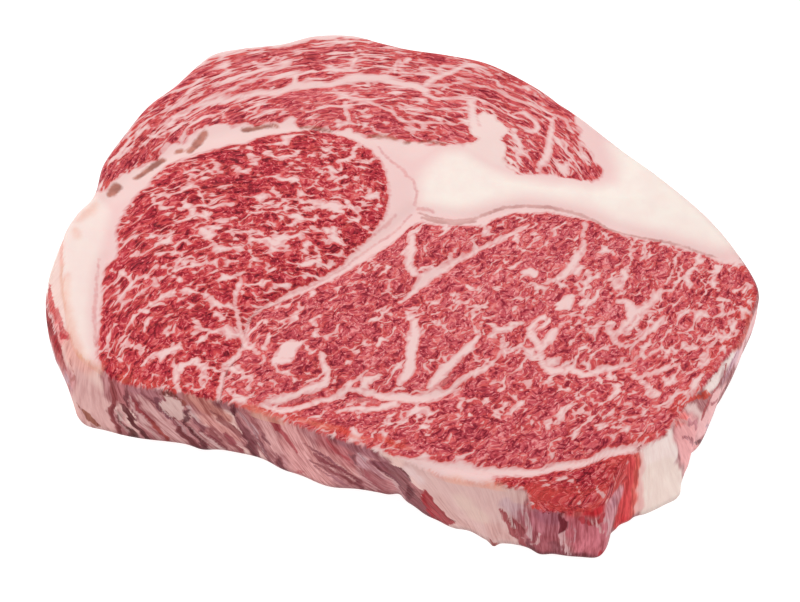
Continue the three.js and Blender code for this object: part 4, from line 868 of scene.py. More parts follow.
# Then bands with firm edges, and the thin streaks that lie over them.
WALL_BANDS = [
    ("#E05C5A", [(286.5, 9.8, 0.5), (290, 8.4, 1.6), (294.1, 7.6, 2), (298.1, 7, 1.8),
                 (302.1, 6.3, 1)]),
    ("#E27472", [(296.1, 7.2, 0.4), (300.1, 5.6, 1), (304.2, 4.8, 1.8), (308.2, 4.4, 2.4),
                 (310.7, 3.6, 2.2), (312.6, 1.6, 1)]),
    ("#AE3C40", [(291.7, 15, 0.6), (294.1, 12.6, 2.2), (297.1, 11.4, 3.2), (301.1, 10, 2.8),
                 (305.2, 9, 3), (309.2, 8.6, 2.8), (311.8, 8.8, 1.2), (315.2, 10.6, 0.6)]),
    ("#DC4A4C", [(284.6, 14.6, 0.4), (286.6, 15.6, 1.8), (288.4, 17, 2.2), (290.9, 18.2, 1.2)]),
    ("#B0343A", [(291.5, 19.4, 0.4), (295.1, 19, 1), (299.1, 18.3, 2.4), (303.1, 18.5, 1.8),
                 (307.2, 19.1, 1.4), (310.7, 19.4, 0.6)]),
    ("#D04E4E", [(287.6, 20, 0.4), (291.1, 21, 1.4), (294.5, 20.4, 1.6), (296.1, 20, 0.6)]),
    ("#C84444", [(289, 27, 1.6), (292.1, 25, 1.8), (294.7, 22.8, 2), (297.1, 21, 0.6)]),
    ("#B05A60", [(308.2, 24.6, 0.6), (311.8, 22, 1.6), (314.2, 20.4, 0.6)]),
    ("#A25C4A", [(320.6, 16.6, 0.5), (322, 18.6, 1.4), (323.6, 20.4, 2), (324.8, 22.6, 1.2)]),
    ("#9A4648", [(330.2, 3, 1), (331.4, 6, 1.8), (331.6, 9, 1.8), (330, 12, 1.4), (329.6, 15, 1.4),
                 (330.2, 18, 1.3), (331.2, 22, 1.5), (331.8, 26, 1.6)]),
    ("#7E3A40", [(333.6, 9.6, 1.2), (334.8, 12, 2), (335.8, 15, 2), (336.4, 18, 1.6), (337.4, 21, 1.4),
                 (338.8, 26, 1.4)]),
    ("#7A3C3E", [(331.8, 15, 0.6), (332.6, 18, 1.2), (333.8, 20.5, 1.7), (335, 26, 1.9)]),
    ("#964650", [(335.8, 4.4, 0.5), (337.8, 6.6, 1.4), (338.6, 9.6, 1.5), (339.6, 12.6, 1)]),
    ("#A8443E", [(339.8, 13.4, 0.8), (341, 16, 1.1), (342.2, 19, 1.4), (343.6, 22, 1.6),
                 (344.4, 26, 1.4)]),
    ("#8A4850", [(339.8, 3, 0.6), (343.2, 6.4, 1.4), (345.2, 9.6, 1.3), (347.8, 11.8, 1.2)]),
    ("#8A4248", [(346.2, 12, 1), (347.6, 14.6, 1.4), (348.2, 18, 1.8), (349.2, 20.6, 2.6)]),
    ("#7A4044", [(349.6, 12.8, 0.8), (351.2, 15, 1.3), (352.6, 18, 1.5), (353.6, 21, 1.8),
                 (354.6, 26, 2)]),
    ("#7E3238", [(348.8, 19, 1.4), (350.6, 21.4, 2.4), (352.2, 26, 3)]),
    ("#8E4E56", [(351.2, 8, 0.6), (352.8, 10, 0.9), (354, 12.5, 1.8), (354.2, 15, 1)]),
    ("#D4A09E", [(354, 16, 0.8), (355.4, 20, 1.9), (356.8, 26, 2.4)]),
    ("#9A5254", [(355.8, 13, 0.8), (357.6, 18, 3), (358.8, 22, 2.6), (359.2, 25, 1)]),
    ("#9A5052", [(360.2, 14.6, 0.8), (361.2, 18, 1.4), (362.8, 23, 1.2)]),
    ("#A05858", [(356.8, 4.6, 0.6), (360.2, 8, 1.7), (363.2, 11, 2.2), (364.2, 14, 1.4)]),
    ("#8A4850", [(364.2, 5, 0.8), (365, 8, 1.4), (366.2, 11, 2.7), (367.2, 15, 2.7), (366.6, 19, 2.6),
                 (367, 26, 2.4)]),
    ("#A85C60", [(367.4, 2.2, 1.2), (368.6, 5.4, 1.4), (369.6, 7.8, 1)]),
    ("#95525A", [(370, 8.2, 0.7), (371.6, 11, 1.4), (373, 13.2, 1)]),
    ("#94545A", [(368.2, 12, 0.7), (369.2, 16, 1), (370.4, 20, 1.2), (371.8, 25, 1.5)]),
    ("#95494F", [(374.2, 16.4, 0.5), (374.4, 18.4, 1.1), (374.6, 21, 2), (374.8, 26, 3)]),
    ("#B84E55", [(371.4, 1, 1.1), (374.2, 2.4, 2.5), (375.6, 4.4, 3.2), (376.8, 6, 1.6),
                 (378.4, 8.4, 1.3), (379.6, 11.8, 0.6)]),
    ("#CC7476", [(378.4, 24, 0.6), (380.2, 22.4, 1.6), (381.6, 21.6, 0.8)]),
    ("#A05A5E", [(382.6, 6.4, 0.9), (384.2, 7.6, 1.4), (387.6, 8.8, 1)]),
    ("#96484E", [(385.4, 9.8, 1), (388.2, 11.6, 1.4), (391.2, 12.8, 1.8), (394.2, 15.6, 2.1),
                 (396.2, 19, 2.3), (396.8, 24, 1.8)]),
    ("#A05A5E", [(384.6, 13.4, 0.8), (387.2, 14.4, 1.5), (390.2, 16, 1.6), (393.2, 18.6, 1.6),
                 (394.9, 22, 1.2)]),
    ("#A6626A", [(385.2, 15.4, 0.7), (389.2, 18.6, 1), (393.2, 23, 1)]),
    ("#8C5058", [(395.8, 4.4, 0.9), (395.4, 7, 1.1), (396.2, 9.4, 0.7)]),
    ("#A85C60", [(396.2, 10.6, 0.9), (398.2, 14, 1.7), (399.4, 17, 0.9)]),
    ("#94505A", [(401.6, 6.4, 2.6), (404.2, 6.8, 5.4), (407, 7, 5.2), (408.8, 6.6, 3)]),
    ("#8E444C", [(403.6, 7.6, 4), (406.6, 9.6, 7), (408.6, 13, 6.6), (410, 17, 7.4), (412.2, 21, 8.4),
                 (414.2, 26, 8)]),
    ("#7C424C", [(407.8, 4.6, 1.2), (409.4, 6, 1.5), (410.2, 8.4, 1)]),
    ("#B06468", [(410.6, 10.4, 1.6), (412.4, 12, 2.6), (413.2, 14.6, 1.8)]),
    ("#AC2C36", [(414.4, 10.6, 0.8), (415.2, 13, 3), (415.8, 16, 5), (417.2, 19.6, 7.6),
                 (417.8, 22, 8.6), (416.8, 26, 6.4)]),
    ("#6C1C26", [(417.2, 15.8, 0.8), (418.2, 17.8, 1.7), (420, 19.8, 2), (421.8, 20.4, 0.9)]),
    ("#A8484E", [(433.4, 9.2, 0.6), (434.6, 11, 1.3), (435.6, 13, 1.3), (436.4, 15, 1),
                 (437, 17.6, 1.5), (438.6, 20.6, 1.9), (440, 24, 1.4)]),
    ("#9C444A", [(437, 12.6, 0.6), (438.2, 14.2, 1.9), (439, 16.6, 2.1), (439.4, 18.6, 1)]),
    ("#C4706A", [(431.6, 22.6, 0.9), (433, 25, 1.3)]),
    ("#C03E46", [(453.2, 10.4, 0.9), (455.2, 11.6, 1.2), (458.2, 11.2, 1.4)]),
    ("#C23A42", [(457.2, 22.4, 1), (457.8, 25, 1.8)]),
    ("#E0503E", [(495.4, 0.5, 1.2), (497.2, 1.8, 2), (499.2, 3.4, 1.7), (501, 5, 0.8)]),
    ("#C25E62", [(497.4, 10, 1), (498.2, 8, 1.7), (500.2, 6.8, 1.1), (504.2, 6, 1), (507.8, 5.8, 0.8)]),
    ("#D08088", [(491.8, 6, 1), (493.6, 8, 1.2), (493.8, 11, 0.8)]),
    ("#C27880", [(488.2, 8, 0.8), (491.6, 12, 1.2), (493.2, 16, 0.8)]),
]
WALL_STREAKS = [
    ("#7A3A40", [(334.6, 3, 0.8), (335, 6, 1.4), (335.2, 9, 1)]),
    ("#6A3034", [(335, 10, 0.8), (335.6, 14, 1.6), (336.2, 18, 1.4), (337.6, 22, 1), (338.2, 25, 1.2)]),
    ("#683634", [(332.4, 15, 0.5), (333.6, 19, 1), (335, 23, 1.6), (335.6, 26, 1.8)]),
    ("#C8A09C", [(332.2, 12.6, 0.8), (333, 15, 1.5), (333.4, 17, 0.8)]),
    ("#BC8C8A", [(332, 17.4, 0.5), (332.8, 20.6, 1), (333.2, 23, 0.6)]),
    ("#84383C", [(330.6, 11, 0.9), (330.2, 15, 1.2), (330.8, 19, 1.1), (331.8, 24, 1.3)]),
    ("#9A3E42", [(337.2, 5.6, 0.6), (338.2, 8.6, 1.1), (339.4, 12, 0.9), (340.4, 14.4, 0.6)]),
    ("#7A3438", [(347.8, 15, 0.6), (348.6, 18, 1.5), (349.6, 21, 2.2), (350.6, 24, 1.8)]),
    ("#6C3036", [(350, 13.4, 0.6), (351.6, 16.4, 1), (352.8, 19.6, 1), (354, 22.6, 1.4),
                 (354.8, 26, 1.4)]),
    ("#D8A8A6", [(354.2, 15.4, 0.5), (355.4, 18.4, 1.4), (356.8, 21.4, 1.6), (358.4, 25, 1.6)]),
    ("#8A3C44", [(355.6, 16.4, 0.6), (357.4, 18.6, 1.5), (358.6, 21.6, 1.2), (359.4, 24, 0.8)]),
    ("#A04850", [(360.4, 13.6, 0.5), (361.6, 17, 1.6), (362.6, 21, 1.4), (363.2, 24.6, 1)]),
    ("#7C3840", [(365.4, 12, 0.8), (366.4, 15.4, 1.9), (366.4, 19, 1.6), (366.6, 24, 1.6)]),
    ("#8A4A54", [(367, 6, 0.6), (368.8, 10, 0.9), (370, 14, 1), (370.8, 18, 0.8), (371.8, 23, 1)]),
    ("#7E3A42", [(374.2, 19, 0.6), (374.8, 22, 1.7), (375.2, 26, 2.4)]),
    ("#8C4048", [(388.2, 11.2, 0.6), (391.6, 12.8, 1), (394.6, 16, 1.2), (396.2, 20, 1.2),
                 (396.8, 24, 1)]),
    ("#9A4A50", [(389.2, 15, 0.5), (392.2, 17.6, 0.9), (394.6, 21, 0.9)]),
    ("#8E4A54", [(384.2, 7, 0.5), (387.2, 8.8, 1), (390.8, 11, 0.9), (393.2, 13.4, 0.5)]),
    ("#DCA09C", [(391.2, 10.6, 0.4), (394.2, 13.2, 0.7), (396.6, 16, 0.5)]),
    ("#DA9E9C", [(388.8, 13.4, 0.4), (392.6, 15.4, 0.6), (395.2, 19.4, 0.4)]),
    ("#B24A50", [(389.2, 2, 1), (391.2, 4.4, 1.5), (393.6, 7.6, 1)]),
    ("#A85058", [(397.8, 10.6, 0.6), (399.6, 14, 1.1), (400.4, 18, 1.1), (400.8, 22, 0.8)]),
    ("#D8A4A4", [(403.2, 11.4, 0.6), (405.4, 14, 1.2), (406.2, 17, 1.2), (405.2, 19.6, 0.6)]),
    ("#C43A40", [(304.7, 5.4, 0.5), (307.2, 5.6, 1.2), (309.8, 4.8, 1.2), (311.2, 3.6, 0.5)]),
    ("#8E3034", [(295.5, 14.6, 1.2), (297.7, 13, 2.6), (300.5, 11, 1.6), (302.1, 10, 0.5)]),
    ("#A61E28", [(305.2, 8.8, 0.6), (307.8, 8.6, 1.6), (310.2, 8.8, 1)]),
    ("#F0C0BE", [(291.1, 11.6, 0.4), (295.1, 9.9, 0.8), (300.1, 8.5, 0.9), (304.7, 7.8, 0.4)]),
    ("#ECBCBC", [(291.1, 18.2, 0.8), (294.1, 19, 1.2)]),
    # a painted highlight: a glint on the wet fat
    ("#F7E8E4", [(286, 12.4, 0.8), (287.4, 10.6, 1.3), (289, 9, 0.7)]),
    ("#C08A94", [(314.2, 11, 0.7), (316.2, 12, 1), (318, 13.8, 0.7)]),
    ("#C87C78", [(316.2, 6, 0.6), (318.2, 8, 0.9), (317.8, 12, 0.7)]),
    ("#CE9A98", [(335.8, 5, 0.6), (337, 9, 0.9), (338.6, 14, 1.3), (340, 19, 1.5), (341, 25, 1.6)]),
    ("#8C4850", [(336, 9, 0.6), (336.8, 12, 0.9), (337.8, 15.4, 0.7)]),
    ("#E8C0BA", [(346.2, 3.2, 2.2), (346.6, 6, 4.8), (347.6, 9, 4.8), (348.8, 11.4, 2.4)]),
    ("#E8C0BA", [(348.2, 3.8, 1.4), (349.2, 6, 2.4), (349.6, 9, 1.4)]),
    # a painted shadow along the upper edge of the torn pale patch
    ("#7A3430", [(344.6, 1.9, 0.7), (346.2, 1.2, 1.2), (348.2, 1.6, 1.2), (349, 2.6, 0.6)]),
    ("#9A4A40", [(348.8, 2.8, 0.5), (349.7, 3.8, 1.2), (350.6, 5, 0.8)]),
    ("#7E424C", [(343.6, 4, 0.8), (343.2, 6.6, 0.7), (344, 9.4, 0.7), (345.6, 11.8, 0.9)]),
    ("#6E3840", [(351.7, 6.6, 0.9), (351.2, 9, 1), (350.6, 12, 1.2), (350.2, 13.6, 0.9)]),
    ("#C29294", [(346.8, 12, 0.4), (349, 15, 0.7), (350.4, 18.6, 0.5)]),
    ("#BC8888", [(351, 13, 0.4), (353, 17, 0.6), (354.2, 20.4, 0.4)]),
    ("#CFA2A2", [(351, 5, 0.5), (352.8, 8, 0.8), (354.8, 11, 0.5)]),
    ("#6A2C36", [(364.4, 1.2, 1), (364, 3, 1.4), (363.8, 5, 0.8)]),
    ("#C49498", [(365.8, 2.2, 0.9), (366.4, 5, 1.1), (368.4, 9, 1.3), (369.8, 12, 1)]),
    ("#C89A9A", [(368.6, 15, 0.6), (369.8, 19, 1), (370.8, 22, 0.6)]),
    ("#7A3A42", [(365.8, 14, 0.9), (366.2, 18, 1.4), (366.6, 22, 1)]),
    ("#A43642", [(374.8, 3.4, 1.2), (376.1, 4.9, 1.2)]),
    ("#D6B4B8", [(397.4, 3.4, 0.9), (399, 6.8, 1.2)]),
    ("#DCA8A6", [(402.4, 10.8, 0.6), (404.6, 12.8, 1.3), (406.4, 15.6, 0.6)]),
    ("#C88A8C", [(395.2, 9.4, 0.8), (396.2, 12, 1), (398.2, 15.4, 0.9), (399.2, 19, 0.9),
                 (399.8, 23, 0.9)]),
    ("#7E3C46", [(401.4, 6.2, 0.9), (402.8, 9, 1.1), (405.4, 11.8, 1), (406.8, 14, 0.7)]),
    ("#6E2630", [(409.8, 12, 0.8), (410.8, 15, 2), (410, 19, 1.6), (409.6, 22, 0.8)]),
    ("#B02A34", [(414, 12.6, 0.7), (414.6, 15, 1.5), (415, 19, 1.4), (415.8, 23, 1)]),
    ("#C04A50", [(416.6, 17.6, 0.6), (417.6, 20, 1.2), (418.2, 23, 0.8)]),
    ("#D8B0AE", [(435.6, 10.4, 0.6), (436.8, 12.6, 0.7), (437.4, 16, 0.5)]),
    ("#CFA0A2", [(439.8, 10, 1.2), (440.8, 13, 1), (441.4, 17, 1.4), (442.4, 19.8, 0.6)]),
    ("#D6A2A2", [(443.8, 15.4, 0.4), (444.1, 18.6, 0.7), (443, 21.4, 0.8), (442.2, 22.8, 0.4)]),
    ("#8C404A", [(441, 20, 0.9), (442.2, 22.4, 1.2)]),
    ("#6E1A26", [(448.6, 7.4, 0.8), (449, 10, 1.1), (449.4, 12, 1.5), (449.2, 14.6, 1)]),
    ("#D9A4A6", [(449.8, 12.6, 0.4), (449.6, 15, 0.8), (449.4, 18, 0.8), (450.2, 20.4, 0.6),
                 (450.4, 24, 0.7)]),
    ("#E0A8A8", [(455.6, 10.8, 0.5), (456.8, 13.6, 0.7), (457, 16, 0.5)]),
    ("#D09098", [(450.8, 11, 0.4), (451.8, 14, 0.8), (451.4, 17.4, 0.5)]),
    ("#DCA8AC", [(458.6, 12, 0.4), (459.6, 15, 0.7), (459.4, 19, 0.5)]),
    ("#E2583E", [(461.8, 6, 0.9), (463, 7.2, 1), (464.2, 7.6, 0.6)]),
    ("#B4323A", [(465.8, 3.4, 0.7), (466.6, 6, 0.9), (468, 8, 0.6)]),
    ("#7C4850", [(495.6, 18.2, 0.7), (497.8, 20.6, 1.3), (499.8, 23.4, 0.9)]),
    ("#C89AA8", [(500.2, 14, 0.6), (502.2, 20, 1), (503.6, 25, 0.8)]),
    ("#C48898", [(510.2, 7.8, 0.8), (512.8, 6.4, 1), (515.2, 3.4, 0.8)]),
    ("#CC7A80", [(501.2, 8, 0.8), (503.6, 10.4, 1.4), (506.2, 12.4, 0.8)]),
    ("#E8A8A6", [(486.8, 1, 0.6), (490, 4.6, 0.9), (492.2, 8, 0.6)]),
]

# Lean and fat carry on down the wall from the edge above, pushed to and fro on the way.
EDGE_STEP = 0.4
FLECK_SHARE = 0.6       # a fleck on the edge makes the wall below it less fat than a seam does
FAT_SOFTNESS = (-0.9, 0.6)
edge_steps = np.arange(0, EDGE_LENGTH, EDGE_STEP)
edge_plan = waver(along_edge(edge_steps)[:, :2], GENTLE_WAVES)
edge_seam = np.maximum(-np.max([outline_reach(edge_plan, outline) for outline in MUSCLES], axis=0),
                       strokes_reach(edge_plan, FAT_SEAMS))
edge_fleck = strokes_reach(edge_plan, LEFT_FLECKS + RIGHT_FLECKS + CAP_FLECKS)
edge_fat = fade(np.maximum(edge_seam, edge_fleck * FLECK_SHARE), *FAT_SOFTNESS)
on_wall = np.stack([station, depth], 1)
pushed = waver(on_wall, DRIFTING_WAVES)[:, 0] - drift * depth
wall_fat = np.interp(np.mod(pushed, EDGE_LENGTH), edge_steps, edge_fat)

# Round the back the strokes fall by chance: the list they join, how soft and strong they are there,
# how many fall, how wide they are at most, and their colours where the edge is lean or is fat.
CHANCE_STROKES = [
    (WALL_AREAS, (1.8, 0.7), 60, 7.0, ("#B4666A", "#A8686E", "#C68F8E", "#D09C9A", "#9A5C64", "#C07A70"),
     ("#EFB2A6", "#F3DAD3", "#E9B4AE", "#F0CCC8", "#E4A68C")),
    (WALL_BANDS, (), 70, 2.2, ("#8A4850", "#9A5254", "#7E3A40", "#B84E55", "#A05858", "#D4A09E"),
     ("#E6A2A0", "#EAB0A4", "#F7E8E4", "#D98C74")),
    (WALL_STREAKS, (), 120, 1.1, ("#6C3036", "#D8A8A6", "#C29294", "#7A3A42", "#DDB2AE", "#9A3E42"),
     ("#DC9A94", "#F7E8E4", "#F0C0BE", "#E49C84")),
]
BACK_WALL = (1, 268)            # where the back wall starts and ends along the edge
FRONT_LENGTH = 238              # length of the walls that are painted one by one
HIDDEN_LENGTH = 20              # length of the right-hand wall past them
TOP, FALL = (0, 18), (5, 15)    # how deep a stroke starts, and how far it falls
LEAN_OVER = (0.1, 0.6)          # how far it drifts for each millimetre of its fall
FAT_FROM = 0.5                  # share of fat in the edge above from which a stroke has fat's colours
NARROWEST, JITTER = 0.35, 0.4   # the narrowest stroke's share of the widest, and how each wanders
TAPER = 0.3                     # a stroke's ends, as a share of its width
dice = np.random.default_rng(11)
for strokes, soft_and_strong, count, widest, lean_colours, fat_colours in CHANCE_STROKES:
    for _ in range(count):
        start = dice.uniform(BACK_WALL[0], BACK_WALL[1] + HIDDEN_LENGTH)
        start += FRONT_LENGTH * (start > BACK_WALL[1])
        top, fall, slant = (dice.uniform(*span) for span in (TOP, FALL, LEAN_OVER))
        width = widest * dice.uniform(NARROWEST, 1)
        colours = lean_colours if np.interp(start, edge_steps, edge_fat) < FAT_FROM else fat_colours
        colour = colours[dice.integers(len(colours))]
        stroke = [(start + slant * fall * t + dice.normal(0, JITTER), top + fall * t,
                   width * (TAPER + (1 - TAPER) * math.sin(math.pi * t))) for t in (0, 0.25, 0.5, 0.75, 1)]
        strokes.append((colour, *soft_and_strong, stroke))


def linear(hex_colour):
    """An sRGB hex colour as linear red, green, blue and alpha."""
    parts = [int(hex_colour[i:i + 2], 16) / 255 for i in (1, 3, 5)]
    return [p / 12.92 if p <= 0.04045 else ((p + 0.055) / 1.055) ** 2.4 for p in parts] + [1.0]


def paint(layer, hex_colour, share):
    """Lays a colour over painted points, by each one's share of it."""
    return layer + (np.array(linear(hex_colour)[:3]) - layer) * share[:, None]


WALL_LEAN, WALL_FAT, WALL_CREAM = "#B97A7C", "#EBC2BA", "#F3DCD4"
WALL_CREAMINESS = 0.7           # the wall's fat is less creamy than the cut face's
SOFT_INSIDE = 0.4               # share of an area's softness that lies inside its edge
BAND_SHADE = 0.85               # bands and streaks are a little darker than the areas
FOOT_SHADE_DEPTH = (22.0, 25.2)       # painted shade: the wall darkens towards its foot, where it meets the table
FOOT_SHADE_AREA, FOOT_SHADE_BAND = 0.35, 0.3        # how much darker each gets there
foot_shade = fade(depth, *FOOT_SHADE_DEPTH)[:, None]
wall_place = waver(on_wall, WALL_WAVES)
wall_paint = np.tile(linear(WALL_LEAN)[:3], (len(plan), 1))
wall_paint = paint(wall_paint, WALL_FAT, wall_fat)
wall_paint = paint(wall_paint, WALL_CREAM, wall_fat * marks["cream"] * WALL_CREAMINESS)
for hex_colour, softness, strength, stroke in WALL_AREAS:
    share = strength * fade(stroke_reach(wall_place, stroke), -softness, softness * SOFT_INSIDE)
    wall_paint = paint(wall_paint, hex_colour, share)
# Areas, bands and streaks all take the painted shade at the foot.
paints = {"wall_paint": wall_paint * (1 - FOOT_SHADE_AREA * foot_shade)}
for name, strokes in (("wall_band", WALL_BANDS), ("wall_streak", WALL_STREAKS)):
    each = np.array([stroke_reach(wall_place, stroke) for _, stroke in strokes])
    colours = np.array([linear(hex_colour)[:3] for hex_colour, _ in strokes]) * BAND_SHADE
    marks[name] = each.max(axis=0)
    paints[name + "_paint"] = colours[each.argmax(axis=0)] * (1 - FOOT_SHADE_BAND * foot_shade)

# Strands in the wall, as a place on a tube of the edge's own length, so that they close up.
TUBE_RADIUS = EDGE_LENGTH / (2 * math.pi)
around = (station - drift * depth) / TUBE_RADIUS
strand = np.stack([np.cos(around), np.sin(around), depth / TUBE_RADIUS], 1) * TUBE_RADIUS
SLICE_SLANT = [0.11, 0.14]      # shift of the soft patches for each millimetre down the wall
slice_map = pattern_plan + below_edge[:, None] * SLICE_SLANT


def carry(name, kind, field, values):
    """Gives the mesh a value or a vector or a colour at each point."""
    layer = steak_mesh.attributes.new(name, kind, "POINT")
    layer.data.foreach_set(field, values.astype(np.float32).ravel())


for name, values in marks.items():
    carry(name, "FLOAT", "value", values)
for name, values in {"grain": np.hstack([grain, depth[:, None]]),
                     "slice": np.hstack([slice_map, depth[:, None]]), "strand": strand}.items():
    carry(name, "FLOAT_VECTOR", "vector", values)
for name, values in paints.items():
    carry(name, "FLOAT_COLOR", "color", np.hstack([values, np.ones((len(plan), 1))]))

MM_IN_A_METRE = 1000
place = np.hstack([plan - DRAWING_MIDDLE, height[:, None]]) / MM_IN_A_METRE
steak_mesh.vertices.foreach_set("co", place.ravel())
bm = bmesh.new()
bm.from_mesh(steak_mesh)
bmesh.ops.recalc_face_normals(bm, faces=bm.faces)
bm.to_mesh(steak_mesh)
bm.free()
steak_mesh.shade_smooth()
steak = bpy.data.objects.new("steak_meat", steak_mesh)
bpy.context.scene.collection.objects.link(steak)
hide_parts("steak")
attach(steak, "root")

# Raw marbled beef is moist cut flesh. Lean is deep to bright red and grainy, fat is pink in the fine
# veins and cream where it is thick, and the walls have dried to dull pinks and purples. A thin film
# of juice gives it a soft sheen, and the light goes a little way in.
beef = bpy.data.materials.new("raw_marbled_beef")
beef.use_nodes = True
tree = beef.node_tree
tree.nodes.clear()


def put(kind, inputs, output=0, **settings):
    """Adds a node with its settings and links, and returns one of its outputs."""
    made = tree.nodes.new("ShaderNode" + kind)
    for name, value in settings.items():
        setattr(made, name, value)
    for socket, value in inputs.items():
        if isinstance(value, bpy.types.NodeSocket):
            tree.links.new(value, made.inputs[socket])
        else:
            made.inputs[socket].default_value = value
    return made.outputs[output]


MIX_A, MIX_B, MIX_OUT = 6, 7, 2     # a Mix node's colour sockets
carried = {name: put("Attribute", {}, "Fac", attribute_name=name) for name in marks}
grain_map = put("Attribute", {}, "Vector", attribute_name="grain")
slice_place = put("Attribute", {}, "Vector", attribute_name="slice")
strands = put("Attribute", {}, "Vector", attribute_name="strand")

# The grain is bent at three sizes, so that no bundle of fibres is straight.
BENDS = [(6.0, 2.6), (2.2, 1.0), (1.0, 0.25)]       # size and reach in millimetres
bent = grain_map
for size_mm, reach_mm in BENDS:
    bend = put("TexNoise", {"Vector": grain_map, "Scale": 1 / size_mm, "Detail": 1.0}, "Color",
               noise_dimensions="2D")
    bent = put("VectorMath", {0: bend, 1: (reach_mm,) * 3, 2: bent}, operation="MULTIPLY_ADD")

# Soft patches of tone, about 0.5 on average: where they are read, their length and width in
# millimetres, how many finer sizes they hold, and how strong those are.
PATCHES = {
    "patchy": (grain_map, 8.0, 6.0, 2.0, 0.5), "blotch": (grain_map, 14.0, 11.0, 3.0, 0.5),
    "broken": (bent, 4.0, 2.6, 1.0, 0.5), "blob": (bent, 2.6, 1.2, 1.0, 0.5),
    "fibre": (bent, 1.5, 0.95, 2.0, 0.6), "fine": (bent, 0.8, 0.6, 1.0, 0.5),
    "cloud": (slice_place, 6.0, 6.0, 3.0, 0.5), "ragged": (slice_place, 1.3, 1.3, 2.0, 0.5),
}
noise = {}
for name, (read_at, long_mm, wide_mm, detail, rough) in PATCHES.items():
    spot = put("VectorMath", {0: read_at, 1: (1 / long_mm, 1 / wide_mm, 0)}, operation="MULTIPLY")
    noise[name] = put("TexNoise", {"Vector": spot, "Scale": 1.0, "Detail": detail, "Roughness": rough}, "Fac",
                      noise_dimensions="2D")

# Bundles of fibres about 4 mm long and 2 mm wide, made of finer ones: each is a cell, with a
# gap to the next one and a tone of its own. The shift keeps one pattern off another.
CELLS = {
    "bundle_gap": (3.8, 2.4, 3.7, "DISTANCE_TO_EDGE", "Distance"),
    "bundle_own": (3.8, 2.4, 3.7, "F1", "Color"),
    "lump": (4.4, 2.0, 9.1, "F1", "Distance"), "grain": (2.2, 1.2, 12.3, "F1", "Distance"),
    "strand_gap": (1.8, 1.25, 17.9, "DISTANCE_TO_EDGE", "Distance"),
    "strand_own": (1.8, 1.25, 17.9, "F1", "Color"),
}
cell = {}
for name, (long_mm, wide_mm, shift, feature, output) in CELLS.items():
    spot = put("VectorMath", {0: bent, 1: (1 / long_mm, 1 / wide_mm, 0), 2: (shift, shift, 0)},
               operation="MULTIPLY_ADD")
    cell[name] = put("TexVoronoi", {"Vector": spot, "Scale": 1.0, "Randomness": 0.95}, output,
                     feature=feature, voronoi_dimensions="2D")
bundle_own = put("SeparateColor", {0: cell["bundle_own"]}, "Red")
strand_own = put("SeparateColor", {0: cell["strand_own"]}, "Red")

# Fat: how far inside it a point lies, from each of the shapes it takes, made of parts with their
# weights and an offset. Veins run between the bundles, patches fill the corners where three meet,
# and some strands are fat all through.
ragged = put("Math", {0: noise["ragged"], 1: 4.0, 2: -2.0}, operation="MULTIPLY_ADD")
lushness = put("Math", {0: carried["marbling"], 1: -1.02}, operation="ADD")
for part, weight in ((noise["patchy"], 1.3), (noise["broken"], 0.85)):
    lushness = put("Math", {0: part, 1: weight, 2: lushness}, operation="MULTIPLY_ADD")
FAT_SHAPES = [
    ((cell["lump"], 3.4), (lushness, 1.7), (noise["fibre"], 0.9), -2.75),
    ((cell["grain"], 2.2), (lushness, 1.8), (noise["fibre"], 0.8), -2.1),
    ((noise["blob"], 3.6), (lushness, 1.6), -3.0),
    ((carried["fleck"], 1.0), (cell["lump"], 1.1), (cell["grain"], 0.9), (noise["blob"], 1.2), -1.45),
    ((carried["seam"], 1.0), (cell["grain"], 0.8), (noise["blob"], 0.8), -0.75),
]
reach = None
for *parts, offset in FAT_SHAPES:
    shape = offset
    for part, weight in parts:
        shape = put("Math", {0: part, 1: weight, 2: shape}, operation="MULTIPLY_ADD")
    reach = shape if reach is None else put("Math", {0: reach, 1: shape, 2: 0.25}, operation="SMOOTH_MAX")
fat_share = put("MapRange", {"Value": reach, "From Min": -0.17, "From Max": 0.2},
                interpolation_type="SMOOTHSTEP")

# Lean: bundles are darkest where they crowd together and bright where they bulge, which is painted
# shade of their rounded relief. Its colours go from the deepest shade to the lightest, each as a red
# and as a pinker tone.
LEAN = [("#6E0A1C", "#8C1A2E"), ("#A61A2C", "#BC424E"), ("#C43642", "#D6686E"), ("#E47C7E", "#ED9C9C")]
SHADE_STEP = 0.33       # the rise in shade from one of these colours to the next
shade = put("Math", {0: carried["marbling"], 1: 0.1, 2: -1.52}, operation="MULTIPLY_ADD")
bundle_rise_and_shade = put("MapRange", {"Value": cell["bundle_gap"], "From Max": 0.2}, interpolation_type="SMOOTHSTEP")
bulge = put("MapRange", {"Value": cell["strand_gap"], "From Max": 0.2}, interpolation_type="SMOOTHSTEP")
for part, weight in ((carried["lightness"], 1.0), (noise["blotch"], 0.5), (noise["fibre"], 1.2),
                     (noise["fine"], 0.75), (bundle_own, 0.32), (strand_own, 0.26), (bundle_rise_and_shade, 0.2),
                     (cell["lump"], 0.5), (cell["grain"], 0.4)):
    shade = put("Math", {0: part, 1: weight, 2: shade}, operation="MULTIPLY_ADD")
